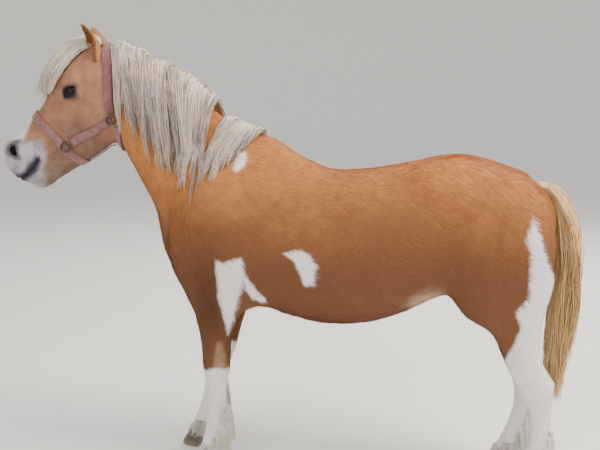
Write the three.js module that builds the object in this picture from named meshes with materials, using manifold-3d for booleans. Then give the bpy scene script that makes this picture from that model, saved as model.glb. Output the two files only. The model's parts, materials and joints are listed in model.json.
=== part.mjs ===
// A life-size standing Shetland pony wearing a webbing halter, as a museum model shows it.
// Units are millimetres. +Z is up, the pony faces -X and its left side is -Y.
// The flesh is one smooth implicit body, parted by thin cuts, and long hair is tapered locks.
import * as THREE from "three";
import { mergeVertices } from "three/addons/utils/BufferGeometryUtils.js";
import Module from "manifold-3d";

const wasm = await Module();
wasm.setup();

// Driving dimensions. Every length is true size for a pony of one metre at the withers.
const GAP = 0.4; // between touching nodes
const NECK_TURN = THREE.MathUtils.degToRad(11); // how far the head looks to the left
const NECK_TURN_START = -400; // x where the neck begins to turn
const NECK_TURN_END = -800; // x where it has turned fully
const NECK_CUT = { top: [-262, 1010], foot: [-640, 660] }; // x and z of the neck's base plane
const HEAD_CUT_X = -716; // behind the jaw and the poll, before the neck turns
const FORE_CUT_Z = 470; // below the breastbone
const HIND_CUT_Z = 528; // below the stifle
const FORE_FOOT_Y = 92;
const HIND_FOOT_Y = 108;
const HIP_Y = 104; // half the distance between left and right shoulders or hips
const FAR_FORE_STEP = -76; // how far the right fore foot stands ahead of the left
const FAR_HIND_STEP = -48;
const FORE_HOOF_X = -442;
const HIND_HOOF_X = 498;
const CORONET = { toe: 52, heel: 34 }; // height of the hoof wall's upper edge
const EYE_RADIUS = 22;
const EYE_PLACE = { along: 148, off: -27 };
const STRAP_WIDTH = 25;
const STRAP_THICK = 3.4;
const RING = { radius: 14, wire: 2.6 };

// Stations of the trunk along x: x, belly z, back z, half width, egg, squareness.
// A positive egg narrows the top of the section and a negative one widens it.
const TRUNK = [
  [-568, 680, 742, 40, 0, 2],
  [-554, 626, 800, 84, 0.05, 2],
  [-530, 568, 866, 116, 0.12, 2],
  [-494, 518, 930, 140, 0.22, 2],
  [-430, 512, 974, 160, 0.32, 2.05],
  [-350, 522, 992, 174, 0.36, 2.1],
  [-270, 500, 994, 188, 0.34, 2.15],
  [-190, 478, 956, 202, 0.24, 2.2],
  [-90, 463, 926, 216, 0.16, 2.25],
  [30, 473, 930, 222, 0.12, 2.3],
  [130, 505, 948, 216, 0.08, 2.3],
  [210, 545, 963, 206, 0.04, 2.3],
  [300, 578, 970, 196, 0, 2.3],
  [400, 608, 946, 180, 0, 2.3],
  [480, 660, 906, 146, 0.02, 2.2],
  [530, 716, 866, 98, 0.05, 2.1],
  [552, 756, 826, 50, 0, 2],
];

// Stations of the neck along its own axis: distance, throat side, crest side, then as above.
const NECK_BASE = [-420, 860];
const NECK_AXIS = [-0.764, 0.645];
const NECK = [
  [-160, -276, 176, 150, 0.3, 2],
  [-60, -268, 184, 144, 0.34, 2],
  [0, -250, 178, 134, 0.36, 2],
  [60, -220, 170, 120, 0.34, 2.05],
  [130, -184, 165, 106, 0.3, 2.1],
  [200, -156, 162, 95, 0.26, 2.15],
  [280, -124, 156, 84, 0.2, 2.2],
  [360, -98, 142, 75, 0.14, 2.2],
  [440, -84, 120, 70, 0.1, 2.2],
  [520, -70, 92, 62, 0.05, 2.1],
  [560, -50, 66, 44, 0, 2],
];

// Stations of the head from poll to muzzle: distance, jaw side, face side, then as above.
const POLL = [-790, 1275];
const HEAD_AXIS = [-0.6445, -0.7646];
const HEAD = [
  [-34, -84, -22, 34, 0, 2],
  [-14, -128, 0, 56, 0, 2],
  [20, -168, 22, 68, -0.06, 2.2],
  [60, -192, 37, 76, -0.16, 2.3],
  [105, -204, 43, 79, -0.2, 2.4],
  [150, -207, 43, 75, -0.2, 2.4],
  [200, -205, 37, 66, -0.12, 2.4],
  [250, -194, 31, 57, -0.04, 2.4],
  [305, -177, 30, 50, 0.02, 2.4],
  [350, -161, 34, 47, 0.04, 2.3],
  [390, -145, 37, 49, 0.02, 2.3],
  [415, -132, 35, 50, 0, 2.3],
  [440, -112, 26, 46, 0, 2.3],
  [458, -88, 10, 36, 0, 2.2],
  [468, -62, -14, 20, 0, 2],
];

// Stations of a fore leg up from the foot: z, front x, back x, half width, egg, squareness.
const FORE_LEG = [
  [6, -496, -400, 37, 0, 2],
  [62, -484, -392, 36, 0, 2],
  [98, -474, -392, 30, 0, 2],
  [130, -465, -384, 30, 0, 2],
  [158, -461, -377, 32, 0, 2.1],
  [190, -459, -386, 28, 0, 2.1],
  [250, -459, -389, 27, 0, 2.1],
  [292, -462, -384, 32, 0, 2.1],
  [330, -468, -377, 38, 0, 2.2],
  [362, -469, -375, 39, 0, 2.2],
  [400, -472, -372, 40, 0, 2.1],
  [450, -482, -362, 45, 0, 2],
  [500, -494, -346, 54, 0, 2],
  [550, -512, -328, 62, 0, 2],
  [620, -532, -312, 68, 0, 2],
  [700, -545, -316, 62, 0, 2],
  [790, -520, -330, 44, 0, 2],
  [860, -470, -340, 20, 0, 2],
];

// Stations of a hind leg up from the foot, in the same columns.
const HIND_LEG = [
  [6, 440, 540, 37, 0, 2],
  [62, 456, 548, 36, 0, 2],
  [98, 470, 552, 30, 0, 2],
  [130, 482, 558, 30, 0, 2],
  [158, 490, 562, 32, 0, 2.1],
  [190, 495, 557, 28, 0, 2.1],
  [244, 494, 556, 28, 0, 2.1],
  [284, 480, 558, 33, 0, 2.2],
  [316, 462, 560, 37, 0.05, 2.2],
  [344, 446, 561, 38, 0.1, 2.2],
  [368, 433, 546, 39, 0.12, 2.1],
  [400, 418, 529, 43, 0.1, 2],
  [450, 396, 522, 54, 0.06, 2],
  [500, 362, 524, 68, 0.02, 2],
  [552, 318, 533, 80, 0, 2.1],
  [610, 276, 546, 90, 0, 2.2],
  [680, 256, 552, 96, 0, 2.2],
  [760, 250, 550, 94, 0, 2.2],
  [840, 262, 524, 80, 0, 2.1],
  [910, 300, 470, 44, 0, 2],
];

// Blending radii between masses
const BLEND = { neck: 110, head: 44, foreLeg: 56, hindLeg: 52, muscle: 60, face: 22 };

// Colours
const CHESTNUT = 0xb0703f;
const WHITE_HAIR = 0xe6ddd0;
const GOLDEN = 0xc9a05c;
const HORN = 0x3c332d;
const EYE_BROWN = 0x1a1210;
const ROSE = 0xa9656b;
const STEEL = 0xa8a8a6;

const smooth = (t) => {
  const c = Math.min(Math.max(t, 0), 1);
  return c * c * (3 - 2 * c);
};
const mix = (a, b, t) => a + (b - a) * t;
const vec = (x, y, z) => new THREE.Vector3(x, y, z);

// Seeded random numbers, so that every build grows the same hair
function dice(seed) {
  let state = seed;
  return (low = 0, high = 1) => {
    state = (state * 1664525 + 1013904223) % 4294967296;
    return low + (high - low) * (state / 4294967296);
  };
}

// Interpolates the columns of a station table smoothly
function stations(rows) {
  const count = rows.length;
  const slopes = rows.map((row, i) => {
    const a = rows[Math.max(0, i - 1)];
    const b = rows[Math.min(count - 1, i + 1)];
    return row.map((_, c) => (b[c] - a[c]) / (b[0] - a[0]));
  });
  return (s) => {
    const at = Math.min(Math.max(s, rows[0][0]), rows[count - 1][0]);
    let i = 0;
    while (i < count - 2 && at > rows[i + 1][0]) i += 1;
    const span = rows[i + 1][0] - rows[i][0];
    const t = (at - rows[i][0]) / span;
    const t2 = t * t;
    const t3 = t2 * t;
    return rows[i].map(
      (low, c) =>
        (2 * t3 - 3 * t2 + 1) * low +
        (t3 - 2 * t2 + t) * span * slopes[i][c] +
        (3 * t2 - 2 * t3) * rows[i + 1][c] +
        (t3 - t2) * span * slopes[i + 1][c],
    );
  };
}

// About the distance to a surface from the distance to its middle and the share of the way there
const measured = (distance, share, least) => (share > 1e-4 ? distance - distance / share : -least);

// About the distance to a loft whose sections are eggs set square to a straight axis in the XZ plane
function loft({ base, axis, rows, middle = () => 0, slide = () => 0 }) {
  const at = stations(rows);
  const first = rows[0][0];
  const last = rows[rows.length - 1][0];
  const turned = axis[0] < 0 || axis[1] < 0 ? [axis[1], -axis[0]] : [-axis[1], axis[0]];
  const normal = axis[0] === 0 ? [1, 0] : turned;
  return (x, y, z) => {
    const dx = x - base[0];
    const dz = z - base[1];
    const s = dx * axis[0] + dz * axis[1];
    const [, low, high, half, egg, square] = at(s);
    const v = dx * normal[0] + dz * normal[1] - slide(s);
    const centre = (low + high) / 2;
    const reach = Math.max((high - low) / 2, 1);
    const q = (v - centre) / reach;
    const side = y - middle(s);
    const wide = half * (1 - egg * Math.min(Math.max(q, -1), 1));
    const r = (Math.abs(q) ** square + Math.abs(side / wide) ** square) ** (1 / square);
    const radial = measured(Math.hypot(v - centre, side), r, Math.min(reach, wide));
    const past = Math.max(first - s, s - last);
    return past > 0 ? Math.hypot(Math.max(radial, 0), past) : Math.max(radial, past);
  };
}

// About the distance to an ellipsoid turned in the XZ plane by an angle from +X towards +Z
function ellipsoid([cx, cy, cz], [a, b, c], turn = 0) {
  const cos = Math.cos(turn);
  const sin = Math.sin(turn);
  return (x, y, z) => {
    const dx = x - cx;
    const dz = z - cz;
    const u = (dx * cos + dz * sin) / a;
    const v = (y - cy) / b;
    const w = (-dx * sin + dz * cos) / c;
    return measured(Math.hypot(dx, y - cy, dz), Math.hypot(u, v, w), Math.min(a, b, c));
  };
}

// Smooth union over a blending radius
const join = (a, b, k) => {
  const h = Math.max(k - Math.abs(a - b), 0) / k;
  return Math.min(a, b) - (h * h * k) / 4;
};

// A point of the head from its distance along the poll-to-muzzle axis and its height off it
const headPoint = (along, off, side = 0) => [
  POLL[0] + along * HEAD_AXIS[0] + off * HEAD_AXIS[1],
  side,
  POLL[1] + along * HEAD_AXIS[1] - off * HEAD_AXIS[0],
];
const HEAD_TILT = Math.atan2(-HEAD_AXIS[1], -HEAD_AXIS[0]);

const trunk = loft({ base: [0, 0], axis: [1, 0], rows: TRUNK });
const neck = loft({ base: NECK_BASE, axis: NECK_AXIS, rows: NECK });
const skull = loft({ base: POLL, axis: HEAD_AXIS, rows: HEAD });

// The four legs: their sections slide by the step towards the foot, and the feet stand closer in
const LEGS = {
  front_left: { rows: FORE_LEG, side: -1, footY: FORE_FOOT_Y, step: 0, hipZ: 640 },
  front_right: { rows: FORE_LEG, side: 1, footY: FORE_FOOT_Y, step: FAR_FORE_STEP, hipZ: 640 },
  hind_left: { rows: HIND_LEG, side: -1, footY: HIND_FOOT_Y, step: 0, hipZ: 700 },
  hind_right: { rows: HIND_LEG, side: 1, footY: HIND_FOOT_Y, step: FAR_HIND_STEP, hipZ: 700 },
};
for (const leg of Object.values(LEGS)) {
  leg.fore = leg.rows === FORE_LEG;
  leg.middle = (z) => leg.side * mix(leg.footY, HIP_Y, smooth(z / leg.hipZ));
  leg.slide = (z) => leg.step * (1 - smooth(z / leg.hipZ));
  leg.field = loft({ base: [0, 0], axis: [0, 1], rows: leg.rows, middle: leg.middle, slide: leg.slide });
}

const onBothSides = (make) => [make(-1), make(1)];
const muscles = [
  ...onBothSides((s) => ellipsoid([-412, s * 88, 790], [96, 76, 196], 0.5)), // shoulder blade
  ...onBothSides((s) => ellipsoid([-516, s * 60, 672], [56, 60, 78])), // breast
  ...onBothSides((s) => ellipsoid([-352, s * 108, 604], [82, 58, 92], 0.3)), // triceps and elbow
  ...onBothSides((s) => ellipsoid([270, s * 108, 872], [120, 72, 78], -0.2)), // hip
  ...onBothSides((s) => ellipsoid([344, s * 118, 600], [74, 66, 96], 0.35)), // stifle
];
const faceMasses = [
  ...onBothSides((s) => ellipsoid(headPoint(150, -120, s * 34), [86, 44, 72], HEAD_TILT)), // cheek
  ...onBothSides((s) => ellipsoid(headPoint(134, -14, s * 56), [46, 32, 28], HEAD_TILT)), // orbit
  ...onBothSides((s) => ellipsoid(headPoint(404, 8, s * 30), [32, 26, 34], HEAD_TILT)), // nostril
  ellipsoid(headPoint(410, -110), [38, 36, 27], HEAD_TILT), // chin
];

// The whole body before the neck turns. Masses are only read near themselves.
function flesh(x, y, z) {
  let f = join(trunk(x, y, z), neck(x, y, z), BLEND.neck);
  if (z < 1010 && x > -720) {
    for (const m of muscles) f = join(f, m(x, y, z), BLEND.muscle);
    for (const leg of Object.values(LEGS)) {
      f = join(f, leg.field(x, y, z), leg.fore ? BLEND.foreLeg : BLEND.hindLeg);
    }
  }
  if (x < -560 && z > 780) {
    f = join(f, skull(x, y, z), BLEND.head);
    for (const m of faceMasses) f = join(f, m(x, y, z), BLEND.face);
  }
  return f;
}

// Turns the neck and head to the left, leaving each section flat
function turnNeck([x, y, z]) {
  if (x >= NECK_TURN_START) return [x, y, z];
  const radius = (NECK_TURN_START - NECK_TURN_END) / NECK_TURN;
  const angle = Math.min((NECK_TURN_START - x) / radius, NECK_TURN);
  const rest = Math.max(NECK_TURN_END - x, 0);
  const midX = NECK_TURN_START - radius * Math.sin(angle) - rest * Math.cos(angle);
  const midY = -radius * (1 - Math.cos(angle)) - rest * Math.sin(angle);
  return [midX - y * Math.sin(angle), midY + y * Math.cos(angle), z];
}

function slope(field, [x, y, z]) {
  const e = 0.5;
  return [
    (field(x + e, y, z) - field(x - e, y, z)) / (2 * e),
    (field(x, y + e, z) - field(x, y - e, z)) / (2 * e),
    (field(x, y, z + e) - field(x, y, z - e)) / (2 * e),
  ];
}

// Moves a point along the slope to where the field has the wanted value
function settle(field, point, wanted = 0, rounds = 3) {
  let p = [...point];
  for (let i = 0; i < rounds; i += 1) {
    const g = slope(field, p);
    const size = g[0] ** 2 + g[1] ** 2 + g[2] ** 2;
    if (size < 1e-6) break;
    const move = (field(...p) - wanted) / size;
    p = p.map((c, k) => c - move * g[k]);
  }
  return p;
}

const outwardAt = (field, point) => vec(...slope(field, point)).normalize();

// The first point where a ray from inside leaves the field, or the ray's end
function leave(field, from, direction, reach) {
  const at = (t) => from.map((c, k) => c + t * direction[k]);
  let t = 0;
  while (t < reach) {
    const f = field(...at(t));
    if (f >= 0) break;
    t += Math.max(-0.7 * f, 2);
  }
  let [low, high] = [Math.max(0, t - 120), Math.min(t, reach)];
  for (let back = 2; back < 130; back *= 2) {
    if (field(...at(Math.max(0, high - back))) < 0) break;
    low = high - back * 2;
  }
  low = Math.max(0, low);
  if (field(...at(high)) < 0) return at(reach);
  for (let i = 0; i < 22; i += 1) {
    const mid = (low + high) / 2;
    if (field(...at(mid)) < 0) low = mid;
    else high = mid;
  }
  return at(high);
}

// Even steps from low to high, no longer than step
function ticks(low, high, step) {
  const count = Math.max(2, Math.ceil((high - low) / step));
  return Array.from({ length: count + 1 }, (_, i) => mix(low, high, i / count));
}

const geometryOf = (positions, faces) => {
  const geometry = new THREE.BufferGeometry();
  geometry.setAttribute("position", new THREE.Float32BufferAttribute(positions, 3));
  geometry.setIndex(faces);
  return geometry;
};

// A closed skin from rings of points, each ring with the same count, and its ends fanned shut.
// The rings run anticlockwise as seen from ahead, looking back along the stack.
function stack(rings) {
  const sides = rings[0].length;
  const faces = [];
  const positions = rings.flat(2);
  for (let i = 0; i < rings.length - 1; i += 1) {
    for (let j = 0; j < sides; j += 1) {
      const a = i * sides + j;
      const b = i * sides + ((j + 1) % sides);
      faces.push(a, b, b + sides, a, b + sides, a + sides);
    }
  }
  const middle = (ring) => [0, 1, 2].map((k) => ring.reduce((sum, p) => sum + p[k], 0) / sides);
  const foot = positions.length / 3;
  positions.push(...middle(rings[0]), ...middle(rings[rings.length - 1]));
  const last = (rings.length - 1) * sides;
  for (let j = 0; j < sides; j += 1) {
    const next = (j + 1) % sides;
    faces.push(foot, next, j, foot + 1, last + j, last + next);
  }
  return geometryOf(positions, faces);
}

// The same stack joined end to start, as a closed hoop
function hoop(rings) {
  const sides = rings[0].length;
  const count = rings.length;
  const faces = [];
  for (let i = 0; i < count; i += 1) {
    for (let j = 0; j < sides; j += 1) {
      const a = i * sides + j;
      const b = i * sides + ((j + 1) % sides);
      const c = ((i + 1) % count) * sides + ((j + 1) % sides);
      const d = ((i + 1) % count) * sides + j;
      faces.push(a, b, c, a, c, d);
    }
  }
  return geometryOf(rings.flat(2), faces);
}

// A closed surface of a field in a box, as the dual of a grid: one vertex in each cell that the
// surface crosses, settled on the surface, and one quad round each grid edge that it crosses.
function polygonise(field, [xs, ys, zs]) {
  const [nx, ny, nz] = [xs.length, ys.length, zs.length];
  const at = (i, j, k) => (i * ny + j) * nz + k;
  const value = new Float64Array(nx * ny * nz);
  for (let i = 0; i < nx; i += 1) {
    for (let j = 0; j < ny; j += 1) {
      for (let k = 0; k < nz; k += 1) {
        const rim = i === 0 || j === 0 || k === 0 || i === nx - 1 || j === ny - 1 || k === nz - 1;
        const f = field(xs[i], ys[j], zs[k]);
        value[at(i, j, k)] = rim ? Math.max(f, 1) : f;
      }
    }
  }
  const index = new Map();
  const positions = [];
  const corner = (c) => [c & 1, (c >> 1) & 1, (c >> 2) & 1];
  const place = ([i, j, k]) => [xs[i], ys[j], zs[k]];
  const cellVertex = (i, j, k) => {
    const key = at(i, j, k);
    if (index.has(key)) return index.get(key);
    let sum = [0, 0, 0];
    let hits = 0;
    for (let a = 0; a < 8; a += 1) {
      for (let bit = 1; bit < 8; bit *= 2) {
        if (a & bit) continue;
        const [p, q] = [corner(a), corner(a | bit)].map(([x, y, z]) => [i + x, j + y, k + z]);
        const [va, vb] = [value[at(...p)], value[at(...q)]];
        if (va < 0 === vb < 0) continue;
        const t = va / (va - vb);
        const [pa, pb] = [place(p), place(q)];
        sum = sum.map((c, n) => c + mix(pa[n], pb[n], t));
        hits += 1;
      }
    }
    let point = sum.map((c) => c / hits);
    const near = settle(field, point);
    const most = 0.6 * Math.min(xs[i + 1] - xs[i], ys[j + 1] - ys[j], zs[k + 1] - zs[k]);
    if (Math.hypot(...near.map((c, n) => c - point[n])) < most) point = near;
    index.set(key, positions.length / 3);
    positions.push(...point);
    return positions.length / 3 - 1;
  };
  const faces = [];
  const gap = (m, n) => Math.hypot(...[0, 1, 2].map((c) => positions[3 * m + c] - positions[3 * n + c]));
  const quad = (corners, flip) => {
    const [a, b, c, d] = corners.map((cell) => cellVertex(...cell));
    const ring = flip ? [a, d, c, b] : [a, b, c, d];
    const start = gap(ring[0], ring[2]) < gap(ring[1], ring[3]) ? 0 : 1;
    const [p, q, r, s] = [0, 1, 2, 3].map((n) => ring[(n + start) % 4]);
    faces.push(p, q, r, p, r, s);
  };
  const around = {
    x: ([i, j, k]) => [[i, j - 1, k - 1], [i, j, k - 1], [i, j, k], [i, j - 1, k]],
    y: ([i, j, k]) => [[i - 1, j, k - 1], [i - 1, j, k], [i, j, k], [i, j, k - 1]],
    z: ([i, j, k]) => [[i - 1, j - 1, k], [i, j - 1, k], [i, j, k], [i - 1, j, k]],
  };
  for (let i = 0; i < nx; i += 1) {
    for (let j = 0; j < ny; j += 1) {
      for (let k = 0; k < nz; k += 1) {
        const cell = [i, j, k];
        const inside = value[at(i, j, k)] < 0;
        if (i < nx - 1 && value[at(i + 1, j, k)] < 0 !== inside) quad(around.x(cell), !inside);
        if (j < ny - 1 && value[at(i, j + 1, k)] < 0 !== inside) quad(around.y(cell), !inside);
        if (k < nz - 1 && value[at(i, j, k + 1)] < 0 !== inside) quad(around.z(cell), !inside);
      }
    }
  }
  return geometryOf(positions, faces);
}

// Applies a point map to a copy of a geometry
function mapped(geometry, map) {
  const copy = geometry.clone();
  const p = copy.attributes.position;
  for (let i = 0; i < p.count; i += 1) p.setXYZ(i, ...map([p.getX(i), p.getY(i), p.getZ(i)]));
  return copy;
}

// A copy whose surface stands off by a distance, for cutting what must stay clear of it
const standOff = (geometry, field, distance) =>
  mapped(geometry, (p) => outwardAt(field, p).multiplyScalar(distance).add(vec(...p)).toArray());

// Six times the volume inside a closed skin, negative where its faces point inwards
function signedVolume(points, corners) {
  const at = (n) => vec(...points.subarray(3 * n, 3 * n + 3));
  let sum = 0;
  for (let i = 0; i < corners.length; i += 3) {
    sum += at(corners[i]).dot(at(corners[i + 1]).cross(at(corners[i + 2])));
  }
  return sum;
}

// Between three.js geometry and closed solids for joins and cuts
function toSolid(geometry) {
  const bare = new THREE.BufferGeometry();
  bare.setAttribute("position", geometry.attributes.position.clone());
  bare.setIndex(geometry.index.clone());
  const merged = mergeVertices(bare, 1e-3);
  const vertProperties = new Float32Array(merged.attributes.position.array);
  const triVerts = new Uint32Array(merged.index.array);
  if (signedVolume(vertProperties, triVerts) < 0) triVerts.reverse();
  return new wasm.Manifold(new wasm.Mesh({ numProp: 3, vertProperties, triVerts }));
}

const neighboursOf = (faces) => {
  const near = new Map();
  const link = (a, b) => {
    if (!near.has(a)) near.set(a, new Set());
    near.get(a).add(b);
  };
  for (const [a, b, c] of faces) {
    for (const [p, q] of [[a, b], [b, c], [c, a]]) {
      link(p, q);
      link(q, p);
    }
  }
  return near;
};

// Draws together the ends of edges too short to matter, which cuts and joins leave behind
function withoutShortEdges(geometry, shortest) {
  const p = geometry.attributes.position;
  const index = Array.from(geometry.index.array);
  let faces = [];
  for (let i = 0; i < index.length; i += 3) faces.push(index.slice(i, i + 3));
  const point = (i) => vec(p.getX(i), p.getY(i), p.getZ(i));
  for (let round = 0; round < 6; round += 1) {
    const near = neighboursOf(faces);
    const moved = new Map();
    const touched = new Set();
    for (const [a, ring] of near) {
      for (const b of ring) {
        if (a > b || touched.has(a) || touched.has(b)) continue;
        if (point(a).distanceTo(point(b)) > shortest) continue;
        const shared = [...ring].filter((c) => near.get(b).has(c));
        if (shared.length !== 2 || shared.some((c) => near.get(c).size < 4)) continue;
        moved.set(b, a);
        for (const c of [...ring, ...near.get(b)]) touched.add(c);
      }
    }
    if (moved.size === 0) break;
    faces = faces
      .map((face) => face.map((v) => moved.get(v) ?? v))
      .filter(([a, b, c]) => a !== b && b !== c && c !== a);
  }
  return geometryOf(Array.from(p.array), faces.flat());
}

// Corners of two folds that meet at one point, each drawn a little towards its own neighbours
const TOUCHING = 0.002;
const DRAWN_IN = 0.05;
function touchingParted(geometry) {
  const index = Array.from(geometry.index.array);
  const points = Array.from(geometry.attributes.position.array);
  const faces = [];
  for (let i = 0; i < index.length; i += 3) faces.push(index.slice(i, i + 3));
  const point = (i) => vec(...points.slice(3 * i, 3 * i + 3));
  const taken = new Set();
  for (const [a, ring] of neighboursOf(faces)) {
    const place = point(a);
    const key = place.toArray().map((c) => Math.round(c / TOUCHING)).join();
    if (taken.has(key)) {
      const middle = vec(0, 0, 0);
      for (const b of ring) middle.addScaledVector(point(b), 1 / ring.size);
      place.addScaledVector(middle.sub(place).normalize(), DRAWN_IN).toArray(points, 3 * a);
    }
    taken.add(key);
  }
  return geometryOf(points, index);
}

function toGeometry(solid) {
  const mesh = solid.getMesh();
  const stride = mesh.numProp;
  const points = [];
  for (let i = 0; i < mesh.numVert; i += 1) {
    points.push(...mesh.vertProperties.subarray(i * stride, i * stride + 3));
  }
  return geometryOf(points, Array.from(mesh.triVerts));
}

// The largest closed body of a solid, and the join of many
const largest = (solid) => solid.decompose().sort((a, b) => b.volume() - a.volume())[0];
const joined = (solids) => solids.reduce((all, one) => all.add(one));
const without = (solid, cutters) => cutters.reduce((left, cutter) => left.subtract(cutter), solid);

// A large block whose face passes through a point in the XZ plane, on the side the direction shows
const BLOCK = 3000;
function sideOf([x, z], [dx, dz], yaw = 0, y = 0) {
  const box = new THREE.BoxGeometry(BLOCK, BLOCK, BLOCK);
  box.translate(BLOCK / 2, 0, 0);
  box.rotateY(-Math.atan2(dz, dx));
  box.rotateZ(yaw);
  box.translate(x, y, z);
  return toSolid(box);
}

function block(low, high) {
  const size = high.map((h, i) => h - low[i]);
  const box = new THREE.BoxGeometry(...size);
  box.translate(...low.map((l, i) => l + size[i] / 2));
  return toSolid(box);
}

// The raw skins of the flesh, before they are parted
const AHEAD = [-1, 0, 0];
const ACROSS = [0, 1, 0];

function fleshRings(rings, sides, reach, limit = () => -1) {
  const field = (x, y, z) => Math.max(flesh(x, y, z), limit(x, y, z));
  const points = rings.map(({ at, up }) =>
    Array.from({ length: sides }, (_, j) => {
      const a = (2 * Math.PI * j) / sides;
      const ray = up.map((c, k) => c * Math.cos(a) + ACROSS[k] * Math.sin(a));
      return leave(field, at, ray, reach);
    }),
  );
  return stack(points);
}

// The ring planes of the head fan out from the jaw's corner and end square to the muzzle.
const HEAD_FAN = 240; // how much further along the jaw side of a ring is than its face side, at the poll
const HEAD_RING_SPANS = [
  [-40, 95, 34],
  [109, 178, 14],
  [205, 372, 33],
  [390, 450, 15],
  [457, 465, 8],
];
const headStations = stations(HEAD);
const headRings = [
  { at: [HEAD_CUT_X + 12, 0, 1130], up: [0, 0, 1] },
  { at: [HEAD_CUT_X - 14, 0, 1130], up: [0, 0, 1] },
  ...HEAD_RING_SPANS.flatMap((span) => ticks(...span)).map((face) => {
    const jaw = face + HEAD_FAN * (1 - (face + 51) / 519);
    const top = headPoint(face, headStations(face)[2]);
    const bottom = headPoint(jaw, headStations(jaw)[1]);
    const up = vec(...top).sub(vec(...bottom)).normalize();
    return { at: top.map((c, k) => mix(c, bottom[k], 0.5)), up: up.toArray() };
  }),
];
const headSkin = fleshRings(headRings, 20, 300, (x) => x - HEAD_CUT_X - 24);

// The ring planes of the neck turn from its base plane to the upright one behind the jaw.
const NECK_RINGS = 10;
const neckMiddle = new THREE.QuadraticBezierCurve(
  new THREE.Vector2(-438, 821),
  new THREE.Vector2(-585, 950),
  new THREE.Vector2(HEAD_CUT_X - 12, 1128),
);
const NECK_BASE_TILT = Math.atan2(NECK_CUT.top[1] - NECK_CUT.foot[1], NECK_CUT.top[0] - NECK_CUT.foot[0]);
const neckRings = ticks(0, 1, 1 / NECK_RINGS).map((t) => {
  const tilt = mix(NECK_BASE_TILT, Math.PI / 2, t);
  const { x, y } = neckMiddle.getPoint(t);
  return { at: [x, 0, y], up: [Math.cos(tilt), 0, Math.sin(tilt)] };
});
const neckSkin = fleshRings(neckRings, 24, 340);

const legSkin = (leg) => {
  const top = leg.fore ? FORE_CUT_Z : HIND_CUT_Z;
  const heights = [26, ...leg.rows.map((row) => row[0]).filter((z) => z > 26 && z < top - 16)];
  const at = stations(leg.rows);
  const rings = [...heights, top - 12, top + 12].map((z) => {
    const [, front, back] = at(z);
    return { at: [mix(front, back, 0.5) + leg.slide(z), leg.middle(z), z], up: AHEAD };
  });
  return fleshRings(rings, 12, 220, (x, y) => 3 - leg.side * y);
};

const TORSO_CELL = 54;
const torsoSkin = polygonise(flesh, [
  ticks(-640, 600, TORSO_CELL),
  ticks(-250, 250, TORSO_CELL),
  ticks(400, 1040, TORSO_CELL - 4),
]);

// The planes that part the flesh
const baseAhead = [-Math.sin(NECK_BASE_TILT), Math.cos(NECK_BASE_TILT)];
const baseBehind = baseAhead.map((c) => -c);
const nudged = ([x, z], [dx, dz], distance) => [x + dx * distance, z + dz * distance];
const aheadOfBase = sideOf(nudged(NECK_CUT.top, baseAhead, GAP / 2), baseAhead);
const behindBase = sideOf(nudged(NECK_CUT.top, baseBehind, GAP / 2), baseBehind);
const pollCutYaw = (NECK_TURN * (NECK_TURN_START - HEAD_CUT_X)) / (NECK_TURN_START - NECK_TURN_END);
const pollCutAt = turnNeck([HEAD_CUT_X, 0, 0]);
const pollCut = (direction) => {
  const [x, y] = pollCutAt;
  const shift = (direction * GAP) / 2;
  return sideOf([x + shift, 0], [direction, 0], pollCutYaw, y);
};
const turned = (geometry) => toSolid(mapped(geometry, turnNeck));

// Eyes. Each is a dome with a flat back, under lids cut from a slightly larger dome.
const eyeDome = (radius) => {
  const profile = [new THREE.Vector2(0, -0.45 * radius), new THREE.Vector2(0.89 * radius, -0.45 * radius)];
  const steps = 5;
  for (let i = 0; i <= steps; i += 1) {
    const a = mix(THREE.MathUtils.degToRad(-20), Math.PI / 2, i / steps);
    profile.push(new THREE.Vector2(radius * Math.cos(a), radius * Math.sin(a)));
  }
  profile[profile.length - 1].x = 0;
  return new THREE.LatheGeometry(profile, 14);
};

function frameAt(point, outward, along) {
  const z = outward.clone().normalize();
  const x = along.clone().sub(z.clone().multiplyScalar(along.dot(z))).normalize();
  const y = z.clone().cross(x);
  return new THREE.Matrix4().makeBasis(x, y, z).setPosition(point);
}

const latheToFrame = new THREE.Matrix4().makeRotationX(Math.PI / 2);
const LID = 2.6;
const EYE_SINK = 14.8; // how far the eye's middle lies below the flesh

function eyeFrame(side) {
  const inner = headPoint(EYE_PLACE.along, EYE_PLACE.off, side * 20);
  const surface = leave(flesh, inner, [0, side, 0], 200);
  const outward = vec(-0.16, side, 0.1).normalize();
  const middle = vec(...surface).sub(outward.clone().multiplyScalar(EYE_SINK));
  return frameAt(middle, outward, vec(HEAD_AXIS[0], 0, HEAD_AXIS[1]).applyAxisAngle(vec(0, 1, 0), 0.1));
}

// The opening between the lids, an almond that lengthens towards the nose
function lidOpening() {
  const shape = new THREE.Shape();
  const [half, rise, drop] = [18, 13, 10];
  shape.moveTo(-half, 0);
  shape.quadraticCurveTo(-half * 0.3, rise * 1.7, half, -1);
  shape.quadraticCurveTo(-half * 0.1, -drop * 1.9, -half, 0);
  return new THREE.ExtrudeGeometry(shape, { depth: 40, bevelEnabled: false, curveSegments: 8 });
}

const placed = (geometry, ...matrices) => {
  const copy = geometry.clone();
  for (const m of matrices) copy.applyMatrix4(m);
  copy.deleteAttribute("normal");
  copy.deleteAttribute("uv");
  return mergeVertices(copy, 1e-3);
};

const eyes = [-1, 1].map((side) => {
  const frame = eyeFrame(side);
  const put = (geometry, ...before) => turned(placed(geometry, ...before, frame));
  return {
    side,
    ball: put(eyeDome(EYE_RADIUS), latheToFrame),
    socket: put(eyeDome(EYE_RADIUS + GAP), latheToFrame),
    lid: put(eyeDome(EYE_RADIUS + LID), latheToFrame),
    opening: put(lidOpening()),
  };
});

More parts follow.
